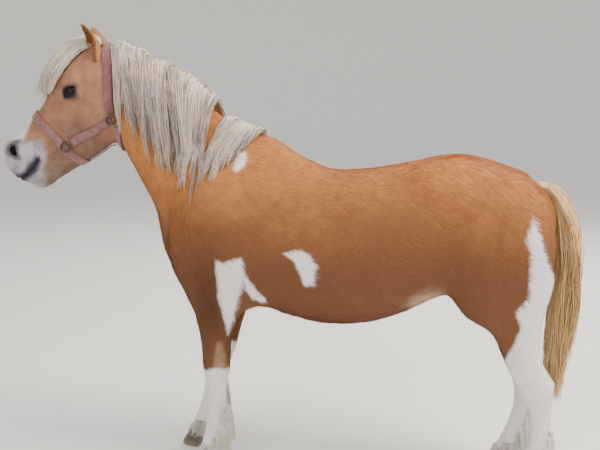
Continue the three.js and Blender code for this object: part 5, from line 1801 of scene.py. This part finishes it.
@dataclass
class Mane:
    """The mane hangs on the left of the crest, with a gap before the withers."""

    front: float = -748.0
    rear: float = -300.0
    gap: tuple = (0.65, 0.765)
    finish: HairFinish = HairFinish(
        colour(242, 230, 208), colour(206, 192, 178), colour(126, 114, 112), colour(228, 204, 166)
    )

    DRIFT = ((0.0, 0.12, 0.3, 0.56, 0.66, 0.74, 1.0), (0.08, 0.14, 0.12, 0.0, -0.04, -0.2, -0.36))
    LAYERS = (
        ("mane_under", -1, 2.5, 1.0, 40, 60, 3),
        ("mane_over", -1, 7.0, 0.96, 40, 60, 4),
        ("mane_far", 1, 2.5, 0.5, 24, 40, 5),
    )

    def crest(self, x: Numbers, side: float) -> Points:
        """The top of the neck at a distance along it."""
        start = rows(x, 0.0, mix(1090, 940, np.maximum((x + 700) / 400, -0.1)))
        top = leave(FLESH, start, UP, 400)
        return settle(FLESH, rows(x, side * 6, top[:, 2]))

    def length(self, t: Numbers) -> Numbers:
        """How long the mane is at a share of the way to the withers."""
        head = mix(400, 345, (t / self.gap[0]) ** 1.6) * mix(0.74, 1, smooth(t / 0.3))
        return np.where(t < self.gap[0], head, mix(340, 130, (t - self.gap[1]) / (1 - self.gap[1])))

    def locks(
        self, roll: np.random.Generator, side: int, lift: float, share: float, count: int
    ) -> Locks:
        """One layer of locks on one side of the crest.

        Args:
            roll: the source of random numbers.
            side: -1 for the left, 1 for the right.
            lift: how far the layer lies over the coat.
            share: its length as a share of the mane's.
            count: how many locks stand on the whole crest.

        Returns:
            The locks.
        """
        t = (np.arange(count) + roll.uniform(0.2, 0.8, count)) / count
        t = t[(t < self.gap[0]) | (t > self.gap[1])]
        root = self.crest(mix(self.front, self.rear, t), side)
        drift = np.interp(t, *self.DRIFT) if side < 0 else mix(0.45, -0.1, t)
        rise = 4 + 22 * np.sin(np.pi * np.minimum(t / 0.8, 1)) ** 0.6
        fall = rows(drift + roll.uniform(-0.06, 0.06, len(t)), 0.0, -1.0)
        heading = np.array([0.0, 0.8 * side, 0.75])
        length = self.length(t) * share * roll.uniform(0.8, 1.08, len(t))
        steps = 7 if side < 0 else 4

        def clearance(s: float) -> Numbers:
            """How far the locks lie over the flesh, highest as they leave the crest."""
            return mix(lift + rise, lift, smooth(2 * s))

        routes = drape(root, heading, fall, length, steps, 0.5, clearance)
        sway = roll.uniform(-6, 6, (len(t), 1)) * np.sin(np.linspace(0, 2.2 * np.pi, steps + 2))
        routes[..., 0] += sway * np.linspace(0, 1, steps + 2)
        return Locks(routes, np.array([16.0, 0.0, 0.0]), np.array([0.0, 2.5, 2.0]))

    def build(self, tree: GeometryTree) -> list[Piece]:
        """Makes the mane in three pieces, two on the left and a short one on the right."""
        roll = np.random.default_rng(7)
        material = self.finish.make("mane_hair")
        pieces = []
        for name, side, lift, share, count, per, seed in self.LAYERS:
            locks = self.locks(roll, side, lift, share, count)
            strands = Strands(name, per, 11, 1.45, gather=0.78, curl=4.5, shortest=0.5, seed=seed)
            pieces.append(strands.spin(locks, skin_map, tree, material))
        return pieces


@dataclass
class Forelock:
    """The forelock falls from between the ears over the forehead."""

    length: float = 272.0
    finish: HairFinish = HairFinish(
        colour(246, 238, 222), colour(240, 230, 214), colour(176, 164, 156), colour(232, 212, 178)
    )

    # lift, half width and number of locks
    LAYERS = ((5, 23, 11), (14, 22, 10), (24, 19, 9), (34, 16, 8), (43, 12, 6))

    def build(self, tree: GeometryTree) -> list[Piece]:
        """Makes the forelock."""
        roll = np.random.default_rng(23)
        y, crown = [], []
        for lift, half, count in self.LAYERS:
            y.append(np.linspace(-half, half, count) + roll.uniform(-2, 2, count))
            crown.append(np.full(count, lift))
        y, crown = np.concatenate(y), np.concatenate(crown)
        root = settle(FLESH, np.stack([head_point(-26 + 8 * (i % 4), 30, v) for i, v in enumerate(y)]))
        heading = rows(-1.0, y * 0.014, 0.35)
        side = y * 0.008 - 0.12 + roll.uniform(-0.05, 0.05, len(y))
        fall = rows(HEAD_AXIS[0], side, HEAD_AXIS[1])
        length = self.length * (1 - np.abs(y) / 120) * roll.uniform(0.84, 1.05, len(y))

        def clearance(t: float) -> Numbers:
            """How far the locks lie over the flesh, highest in the middle of their way."""
            return crown * math.sin(math.pi * min(0.2 + 0.62 * t, 0.86))

        routes = drape(root, heading, fall, length, 6, 0.5, clearance, 0.85)
        locks = Locks(routes, np.array([0.0, 12.0, 0.0]), np.array([-5.0, 0.0, 4.5]))
        strands = Strands("forelock", 56, 9, 1.3, gather=0.45, curl=3.5, shortest=0.6, seed=24)
        return [strands.spin(locks, skin_map, tree, self.finish.make("forelock_hair"))]


@dataclass
class Tail:
    """A bony dock that long locks leave on every side and hide."""

    count: int = 50
    finish: HairFinish = HairFinish(
        colour(250, 218, 172), colour(228, 190, 134), colour(156, 112, 68), colour(236, 192, 134)
    )

    DOCK = ((496, 0, 872), (538, 0, 868), (562, 0, 828), (572, 0, 768), (574, 0, 700))

    def at(self, t: Numbers) -> tuple[Points, Points]:
        """Points and directions along the dock."""
        fine = resampled(np.array(self.DOCK, float)[None], 101)[0]
        i = np.clip(t * 100, 0, 99)
        k = i.astype(int)
        place = fine[k] + (fine[k + 1] - fine[k]) * (i - k)[:, None]
        return place, unit(fine[k + 1] - fine[k])

    def routes(self, roll: np.random.Generator, outer: bool) -> Points:
        """How the locks of the inner or outer hair run: away from the dock, then down.

        Args:
            roll: the source of random numbers.
            outer: whether the outer hair is drawn.

        Returns:
            The points of each route: route, point, xyz.
        """
        count, steps = self.count, 6
        t = mix(0.1, 1.0, ((np.arange(count) * 7) % count + 0.5) / count)
        around = (np.arange(count) * 2.4 + outer * 0.7) % (2 * math.pi) - math.pi
        place, tangent = self.at(t)
        out = unit(np.cross(RIGHT, tangent)) * (np.abs(np.cos(around)) + 0.1)[:, None]
        out *= np.where(out[:, :1] < 0, -1, 1)
        out = unit(out + rows(0.0, np.sin(around), 0.0))
        length = (place[:, 2] - 250) * roll.uniform(0.76, 1.0, count)
        h = unit(out * 0.35 + tangent)
        p = place + out * (mix(27, 11, t) * (0.75 if outer else 0.4))[:, None]
        route = [place.copy(), p.copy()]
        for k in range(1, steps + 1):
            ahead, inward = ((-0.2, -0.03), 0.07) if k < 5 else ((-0.02, 0.1), -0.09)
            fall = rows(roll.uniform(*ahead, count), inward * np.sin(around) - 0.03, -1.0)
            h = unit(h * 0.45 + unit(fall) * 0.55)
            p = p + h * (length / steps)[:, None]
            back = mix(612, 580, smooth((560 - p[:, 2]) / 260))
            front = mix(552, 506, smooth((700 - p[:, 2]) / 200))
            p[:, 0] = np.clip(p[:, 0], front + 6, back - 6)
            route.append(p.copy())
        return np.stack(route, axis=1)

    def build(self, tree: GeometryTree) -> list[Piece]:
        """Makes the dock and the tail's hair, inner and outer."""
        roll = np.random.default_rng(41)
        material = self.finish.make("tail_hair")
        pieces = [self.dock(material)]
        for name, seed, outer in (("tail_inner", 42, False), ("tail_outer", 43, True)):
            spread, depth = np.array([6.0, 15.0, 0.0]), np.array([10.0, -2.0, 0.0])
            locks = Locks(self.routes(roll, outer), spread, depth)
            strands = Strands(name, 54, 10, 1.5, 0.3, 8.0, shortest=0.5, seed=seed, clear=2.0)
            pieces.append(strands.spin(locks, tail_map, tree, material))
        return pieces

    def dock(self, material: Finish) -> Piece:
        """The flesh of the tail under its hair."""
        t, sides = np.linspace(0, 1, 14), 16
        place, tangent = self.at(t)
        out = unit(np.cross(RIGHT, tangent))[:, None]
        turn = np.linspace(0, 2 * np.pi, sides, endpoint=False)[:, None]
        radius = (mix(24, 8, t) * np.where(t > 0.99, 0.3, 1))[:, None, None]
        p = (place[:, None] + radius * (np.cos(turn) * out + np.sin(turn) * RIGHT)).reshape(-1, 3)
        obj = mesh_of("tail_dock", Bench.place(p), stack_faces(len(t), sides), outwards=False)
        set_number(obj, "along", np.repeat(t * 0.3, sides))
        set_number(obj, "tone", np.full(len(p), 0.8))
        set_map(obj, tail_map(p)[corners_of(obj)])
        obj.data.materials.append(material)
        return obj


@dataclass
class Feather:
    """Longer hair down the back of each fetlock and over the hoof's upper edge."""

    finish: HairFinish = HairFinish(
        colour(248, 244, 240), colour(240, 234, 224), colour(206, 196, 186), colour(226, 214, 194)
    )

    # height, number of locks, half the turn that they take up and their length
    ROWS = (
        (200, 7, 0.9, 60),
        (166, 9, 1.1, 76),
        (140, 9, 1.2, 74),
        (112, 10, 1.4, 66),
        (84, 14, 2.4, 46),
        (64, 20, 3.1, 34),
    )

    def build(self, tree: GeometryTree) -> list[Piece]:
        """Makes the feather of the four feet."""
        material = self.finish.make("feather_hair")
        pieces = []
        for seed, leg in enumerate(LEGS, 61):
            roll = np.random.default_rng(seed)
            roots, headings, falls, lengths = [], [], [], []
            for z, count, spread, length in self.ROWS:
                a = np.linspace(-spread, spread, count) + roll.uniform(-0.1, 0.1, count)
                level = z + roll.uniform(-14, 14, count) * (z > 100)
                low, high = leg.mass.at(level)[:, :2].T
                start = rows((low + high) / 2 + leg.slide(level), leg.middle(level), level)
                ray = rows(np.cos(a), np.sin(a), 0.0)
                roots.append(leave(FLESH, start, ray, 150))
                headings.append(ray * 0.15 - UP)
                lean = 0.25 if z < 80 else 0.0
                falls.append(rows(0.12 * np.cos(a) - lean, 0.1 * np.sin(a), -1.0))
                lengths.append(length * roll.uniform(0.8, 1.1, count))
            root, heading, fall = (np.concatenate(part) for part in (roots, headings, falls))
            length = np.concatenate(lengths)
            routes = drape(root, heading, fall, length, 4, 0.5, lambda s: mix(1.5, 7, s))
            routes[..., 2] = np.maximum(routes[..., 2], 5)
            normal = outward(FLESH, root)
            locks = Locks(routes, unit(np.cross(normal, UP)) * 10, normal * 1.5)
            name = "feather_" + leg.name
            strands = Strands(name, 22, 6, 0.7, gather=0.4, curl=2.5, shortest=0.55, seed=70, clear=0.6)
            pieces.append(strands.spin(locks, skin_map, tree, material))
        return pieces


# Ears, eyes, hooves and halter


@dataclass
class Ears:
    """Two cupped leaves that open forwards and outwards."""

    rings: int = 28
    outer: int = 20
    inner: int = 16

    FUR = ("grow_ear", 120000.0, 0.013, 0.0016, 0.3)  # the tree's inputs before its seed

    def ring(self, side: int, t: float) -> Points:
        """One ring of an ear: its outer arc, then its inner arc back."""
        root, tip = np.array([-791, side * 48, 1222.0]), np.array([-829, side * 67, 1338.0])
        up = unit(tip - root)
        forward = across(np.array([-0.75, side * 0.55, 0.0]), up)
        sideways = np.cross(up, forward)
        wide = 4 + 26 * math.sin(math.pi * min(0.22 + 0.78 * max(t, 0), 1)) ** 0.85
        radius = 1.2 if t > 0.99 else wide  # a blunt tip
        wrap = mix(2.4, 1.25, smooth(t * 1.3))
        thick = min(3.4, radius * 0.5)
        length = np.linalg.norm(tip - root)
        middle = root + up * length * t - forward * 5 * math.sin(math.pi * t)

        def arc(r: float, count: int, sign: int) -> Points:
            """The way from one edge of the leaf to the other."""
            a = (sign * wrap * (1 - 2 * np.arange(count) / (count - 1)))[:, None]
            return middle + forward * (-np.cos(a) * r * 0.8) + sideways * (np.sin(a) * r)

        return np.concatenate([arc(radius, self.outer, 1), arc(radius - thick, self.inner, -1)])

    def build(self, coat: Finish) -> list[Piece]:
        """Makes both ears."""
        pieces = []
        sides = self.outer + self.inner
        levels = np.linspace(-0.22, 1, self.rings)
        for side, name in SIDES:
            p = np.concatenate([self.ring(side, t) for t in levels])
            obj = mesh_of(f"ear_{name}_skin", Bench.place(p), stack_faces(self.rings, sides))
            at = np.arange(len(p)) % sides
            level = np.repeat(levels, sides)
            within = at >= self.outer
            edge = np.minimum(at, np.abs(self.outer - 1 - at)) < 2
            marks = {
                "white": -60.0,
                "pale": np.where(within, 0.0, 0.35 * (~edge)),
                "dark": np.where(within, 0.6, np.where(edge, 0.55, 0.1 + 0.3 * smooth(level * 2 - 1))),
                "bare": 0.0,
                "slate": 0.0,
                "hollow_shade": 0.0,
                "fur": np.where(within, 1.3, 0.7),
                "grow_ear": level > 0.02,
            }
            for key, values in marks.items():
                set_number(obj, key, np.broadcast_to(values, len(p)))
            uv = CoatMap.EARS.at(0.5 * (side > 0) + 0.5 * at / sides, level)
            set_map(obj, uv[corners_of(obj)])
            set_vector(obj, "root_uv", rows(*uv.T, 0.0))
            up = unit(np.array([-0.35, 0.15 * side, 0.92]))
            set_vector(obj, "lie", turn_directions(p, np.tile(up, (len(p), 1))))
            obj.data.materials.append(coat)
            pieces.append(obj)
        return pieces

    @staticmethod
    def furred(ears: list[Piece], coat: Coat) -> list[Piece]:
        """Plants the ears' short fur, longest in the cup."""
        return [
            coat.plant(ear, "coat_" + ear.name.removesuffix("_skin"), *Ears.FUR, seed)
            for seed, ear in enumerate(ears, 31)
        ]


@dataclass
class Eyes:
    """Two wet dark eyes with a level pupil."""

    finish: EyeFinish = EyeFinish()
    rings: int = 28
    sides: int = 48

    def build(self) -> list[Piece]:
        """Makes both eyes."""
        material = self.finish.make("eye_wet")
        pieces = []
        lat = np.linspace(0.02, math.pi * 0.62, self.rings)[:, None]
        lon = np.linspace(0, 2 * math.pi, self.sides, endpoint=False)
        swell = Face.BALL + 0.7 * bell(lat, 0.5)
        wide = np.sin(lat) * swell
        local = rows(wide * np.cos(lon), wide * np.sin(lon), np.cos(lat) * swell).reshape(-1, 3)
        for side, name in SIDES:
            p = Bench.place(Face.eyes[side].world(local))
            obj = mesh_of("eyeball_" + name, p, stack_faces(self.rings, self.sides))
            set_vector(obj, "eye_place", local / Face.BALL)
            obj.data.materials.append(material)
            finish_piece(obj, ["eye_" + name])
            pieces.append(obj)
        return pieces


@dataclass
class Hooves:
    """Four hooves with sloping, ringed walls on flat soles."""

    finish: HornFinish = HornFinish()
    sides: int = 56

    # height, shift backwards, half the length and half the width
    LEVELS = (
        (0, -18, 50, 41),
        (1.5, -18, 51.4, 42.4),
        (5, -18, 52, 43),
        (30, -8, 48, 40),
        (64, 4, 43, 35),
    )

    def build(self) -> list[Piece]:
        """Makes the four hooves."""
        material = self.finish.make("hoof_horn")
        pieces = []
        levels = np.concatenate([[0, 0.6, 1.5, 3], np.linspace(5, 60, 34)])
        shift, long, wide = Stations(self.LEVELS)(levels).T[..., None]
        z = levels[:, None]
        ripple = np.where(z > 6, 0.35 * np.sin(z * 0.9) + 0.25 * np.sin(z * 1.7 + 1), 0)
        turn = np.linspace(0, 2 * np.pi, self.sides, endpoint=False)
        cos, sin = np.cos(turn), np.sin(turn)
        narrow = 1 - 0.14 * np.maximum(cos, 0)
        heel = np.where(cos > 0, 1 - 0.14 * smooth(cos * 3), 1)
        cleft = 1 - 0.07 * bell(np.angle(np.exp(1j * turn)), 0.2)
        for leg in LEGS:
            x = leg.hoof_x + leg.step + shift + (long * heel * cleft + ripple) * cos
            y = leg.side * leg.foot_y + (wide * narrow + ripple) * sin
            p = Bench.place(rows(x, y, z).reshape(-1, 3))
            obj = mesh_of("hoof_wall_" + leg.name, p, stack_faces(len(levels), self.sides))
            obj.data.materials.append(material)
            finish_piece(obj, ["hoof_" + leg.name])
            pieces.append(obj)
        return pieces


@dataclass
class Strap:
    """One webbing strap: where it runs on the head and how wide it is."""

    name: str
    spots: Points
    out: Points
    width: float = 25.0
    closed: bool = False


@dataclass
class Halter:
    """A rose webbing halter with four plated rings."""

    webbing: WebbingFinish = WebbingFinish()
    metal: MetalFinish = MetalFinish()
    thick: float = 3.2
    clear: float = 0.4  # between the webbing and the flesh
    ring_radius: float = 14.0
    ring_wire: float = 2.6
    ring_lift: float = 7.6  # from the flesh to the middle of the wire

    # where the rings lie: distance from the poll, and degrees round from the face
    LOWER = (290.0, 124.0)
    UPPER = (134.0, 140.0)

    @staticmethod
    def spots(along: Numbers, angle: Numbers) -> tuple[Points, Points]:
        """Points on the head and their outward directions, by distance and by angle."""
        low, high = Stations(HEAD)(along)[:, :2].T
        start = np.stack([head_point(s, (a + b) / 2) for s, a, b in zip(along, low, high)])
        up = np.array([HEAD_AXIS[1], 0.0, -HEAD_AXIS[0]])
        ray = np.cos(angle)[:, None] * up - np.sin(angle)[:, None] * RIGHT
        p = leave(lambda q: np.maximum(FLESH(q), q[:, 0] - HEAD_START), start, ray, 300)
        return p, outward(FLESH, p)

    @classmethod
    def line(cls, step: int, *corners: tuple[float, float]) -> tuple[Points, Points]:
        """Spots along straight runs from corner to corner.

        Args:
            step: how many spots a run has.
            corners: distances from the poll, with degrees round from the face.

        Returns:
            The spots and their outward directions.
        """
        along, angle = [], []
        for n, ((a0, t0), (a1, t1)) in enumerate(zip(corners[:-1], corners[1:]), 2):
            s = np.linspace(0, 1, step, endpoint=n == len(corners))
            along.append(mix(a0, a1, s))
            angle.append(np.radians(mix(t0, t1, s)))
        return cls.spots(np.concatenate(along), np.concatenate(angle))

    def straps(self) -> list[tuple[Strap, str]]:
        """Every strap with the node that it stands for."""
        made = []
        a = np.linspace(0, 2 * np.pi, 72, endpoint=False)
        p, n = self.spots(mix(282, 300, (1 - np.cos(a)) / 2), a)
        made.append((Strap("noseband_webbing", p, n, closed=True), "halter_noseband"))
        (low, low_turn), (high, high_turn) = self.LOWER, self.UPPER
        t = 20 / abs(low - high)
        for side, name in SIDES:
            start = (mix(low, high, t), -side * mix(low_turn, high_turn, t))
            p, n = self.line(30, start, (high, -side * high_turn))
            made.append((Strap("cheek_webbing_" + name, p, n), "halter_cheek_" + name))
        p, n = self.line(16, (120, 134), (24, 88), (-22, 45), (-22, -45), (24, -88), (120, -134))
        made.append((Strap("crown_webbing", p, n), "halter_crown"))
        angle = np.radians(np.linspace(137, 223, 30))
        start = np.tile([-732.0, 0.0, 1110.0], (30, 1))
        p = leave(FLESH, start, rows(0.0, -np.sin(angle), np.cos(angle)), 200)
        made.append((Strap("throat_webbing", p, outward(FLESH, p), 20.0), "halter_throat_strap"))
        p, n = self.line(24, (285, 180), (198, 180))
        made.append((Strap("jaw_webbing", p, n, 22.0), "halter_jaw_strap"))
        return made

    def ribbon(self, strap: Strap) -> Piece:
        """Makes a strap as a band with rounded edges."""
        p, n = strap.spots, strap.out
        if strap.closed:
            tangent = np.roll(p, -1, axis=0) - np.roll(p, 1, axis=0)
        else:
            tangent = np.gradient(p, axis=0)
        tangent = unit(tangent)
        normal = across(n, tangent)
        for _ in range(3):
            around = (np.roll(normal, 1, axis=0) + np.roll(normal, -1, axis=0)) / 2
            if not strap.closed:
                around[0], around[-1] = normal[0], normal[-1]
            normal = across(normal + around, tangent)
        side = np.cross(normal, tangent)
        half, top, middle = strap.width / 2, self.clear + self.thick, self.clear + self.thick * 0.55
        face = np.linspace(-1, 1, 9)
        profile = [(s * (half - 0.4), top - 0.5 * s**6 + 0.25 * (1 - s * s)) for s in face]
        profile += [(half, middle), (half - 0.3, 0.5)]
        profile += [(s * (half - 1), 0.2) for s in np.linspace(0.9, -0.9, 5)]
        profile += [(-half + 0.3, 0.5), (-half, middle)]
        sides = len(profile)
        ring = np.array(profile)
        points = p[:, None] + side[:, None] * ring[None, :, :1] + normal[:, None] * ring[None, :, 1:]
        run = np.concatenate([[0], np.cumsum(np.linalg.norm(np.diff(p, axis=0), axis=1))])
        faces = stack_faces(len(p), sides, strap.closed)
        obj = mesh_of(strap.name, Bench.place(points.reshape(-1, 3)), faces)
        set_vector(obj, "weave", rows(run[:, None], ring[:, 0], 0.0).reshape(-1, 3))
        return obj

    def ring(self, name: str, place: tuple[float, float], side: int) -> Piece:
        """A wire ring that lies on the straps where they meet."""
        p, n = self.spots(np.array([place[0]]), np.radians([-side * place[1]]))
        out = n[0]
        along = across(AHEAD, out)
        frame = Frame(p[0] + out * self.ring_lift, np.array([along, np.cross(out, along), out]))
        big = np.linspace(0, 2 * np.pi, 40, endpoint=False)[:, None]
        small = np.linspace(0, 2 * np.pi, 12, endpoint=False)
        r = self.ring_radius + self.ring_wire * np.cos(small)
        local = rows(np.cos(big) * r, np.sin(big) * r, self.ring_wire * np.sin(small)).reshape(-1, 3)
        return mesh_of(name, Bench.place(frame.world(local)), stack_faces(40, 12, True))

    def build(self) -> list[Piece]:
        """Makes the halter's straps and rings."""
        cloth, steel = self.webbing.make("rose_webbing"), self.metal.make("plated_steel")
        pieces = []
        for strap, node in self.straps():
            obj = self.ribbon(strap)
            obj.data.materials.append(cloth)
            finish_piece(obj, [node])
            pieces.append(obj)
        for side, name in SIDES:
            for place, prefix, node in (
                (self.LOWER, "lower_ring_", "halter_ring_"),
                (self.UPPER, "upper_ring_", "halter_upper_ring_"),
            ):
                obj = self.ring(prefix + name, place, side)
                obj.data.materials.append(steel)
                finish_piece(obj, [node + name])
                pieces.append(obj)
        return pieces


# The studio


@dataclass
class Studio:
    """A pale floor, soft lights and the camera."""

    lens: float = 52.02
    pitch: float = math.radians(8.85)
    yaw: float = math.radians(11.62)
    eye: tuple = (0.3325, -2.515, 1.15)
    flat: float = 8.0  # how far the floor is level
    cove: float = 3.5  # how it curves up
    wall: float = 5.0

    def build(self) -> None:
        """Sets the camera, floor and lights."""
        self.camera()
        self.floor()
        self.lights()

    def camera(self) -> None:
        """The camera at the photograph's viewing angle."""
        data = bpy.data.cameras.new("camera")
        data.lens, data.sensor_width = self.lens, 36.0
        camera = set_in_scene("camera", data)
        camera.location = (self.eye[0] + Bench.shift / 1000, self.eye[1], self.eye[2])
        ahead = Vector((-math.sin(self.yaw), math.cos(self.yaw), 0)) * math.cos(self.pitch)
        ahead.z = -math.sin(self.pitch)
        camera.rotation_euler = ahead.to_track_quat("-Z", "Y").to_euler()
        bpy.context.scene.camera = camera

    def floor(self) -> None:
        """A plain pale floor that curves up into a wall far behind the pony."""
        bend = np.linspace(0, math.pi / 2, 24)
        out = np.concatenate([[4.0], self.flat + self.cove * np.sin(bend), [self.flat + self.cove]])
        up = np.concatenate([[0.0], self.cove * (1 - np.cos(bend)), [self.wall]])
        sides = 96
        turn = np.linspace(0, 2 * math.pi, sides, endpoint=False)
        rings = rows(np.outer(out, np.cos(turn)), np.outer(out, np.sin(turn)), up[:, None])
        faces = [face[::-1] for face in stack_faces(len(out), sides)[:-1]]
        floor = mesh_of("floor", rings.reshape(-1, 3), faces, outwards=False)
        looks = {"Base Color": colour(232, 230, 226), "Roughness": 0.9}
        floor.data.materials.append(Shader("studio_floor").finish(looks))

    def lights(self) -> None:
        """A broad key light, a fill and a bright room."""
        world = bpy.data.worlds.new("room")
        bpy.context.scene.world = world
        world.use_nodes = True
        back = world.node_tree.nodes["Background"]
        back.inputs[0].default_value = (0.97, 0.98, 1.0, 1.0)
        back.inputs[1].default_value = 0.8
        self.lamp("key", (3.0, -0.6, 4.2), 2.4, 330.0, (1.0, 0.94, 0.84))
        self.lamp("front", (-0.6, -4.0, 3.0), 3.0, 90.0, (1.0, 0.98, 0.95))
        self.lamp("back", (0.6, 3.6, 3.4), 3.0, 150.0, (1.0, 0.96, 0.88))

    def lamp(self, name: str, place: tuple, size: float, power: float, tint: tuple) -> None:
        """One soft square light that faces the pony."""
        data = bpy.data.lights.new(name, "AREA")
        data.shape, data.size, data.energy, data.color = "SQUARE", size, power, tint
        lamp = set_in_scene(name, data)
        lamp.location = place
        aim = Vector((0.2, 0.0, 0.7)) - Vector(place)
        lamp.rotation_euler = aim.to_track_quat("-Z", "Y").to_euler()


def main() -> None:
    """Builds the pony's dress in order."""
    logging.basicConfig(level=logging.INFO, format="%(message)s")
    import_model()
    Bench.set_up()
    Studio().build()
    Face.set_up()
    skin_material = CoatFinish().make("coated_skin", True)
    skin = Skin().build()
    skin.data.materials.append(skin_material)
    coat = Coat(tuft_tree(), CoatFinish().make("short_coat", False))
    fur = coat.build(skin)
    ears = Ears().build(skin_material)
    fur += Ears.furred(ears, coat)
    strands = strand_tree()
    mane = Mane().build(strands)
    forelock = Forelock().build(strands)
    tail = Tail().build(strands)
    feather = Feather().build(strands)
    finish_piece(skin, ["torso", "neck", "head", *("leg_" + leg.name for leg in LEGS)])
    for piece in fur:
        finish_piece(piece)
    for piece, name in zip(ears, ("ear_left", "ear_right")):
        finish_piece(piece, [name])
    for piece in mane + forelock + feather:
        finish_piece(piece)
    finish_piece(tail[0], ["tail"])
    for piece in tail[1:]:
        finish_piece(piece)
    Eyes().build()
    Hooves().build()
    Halter().build()


if __name__ == "__main__":
    main()
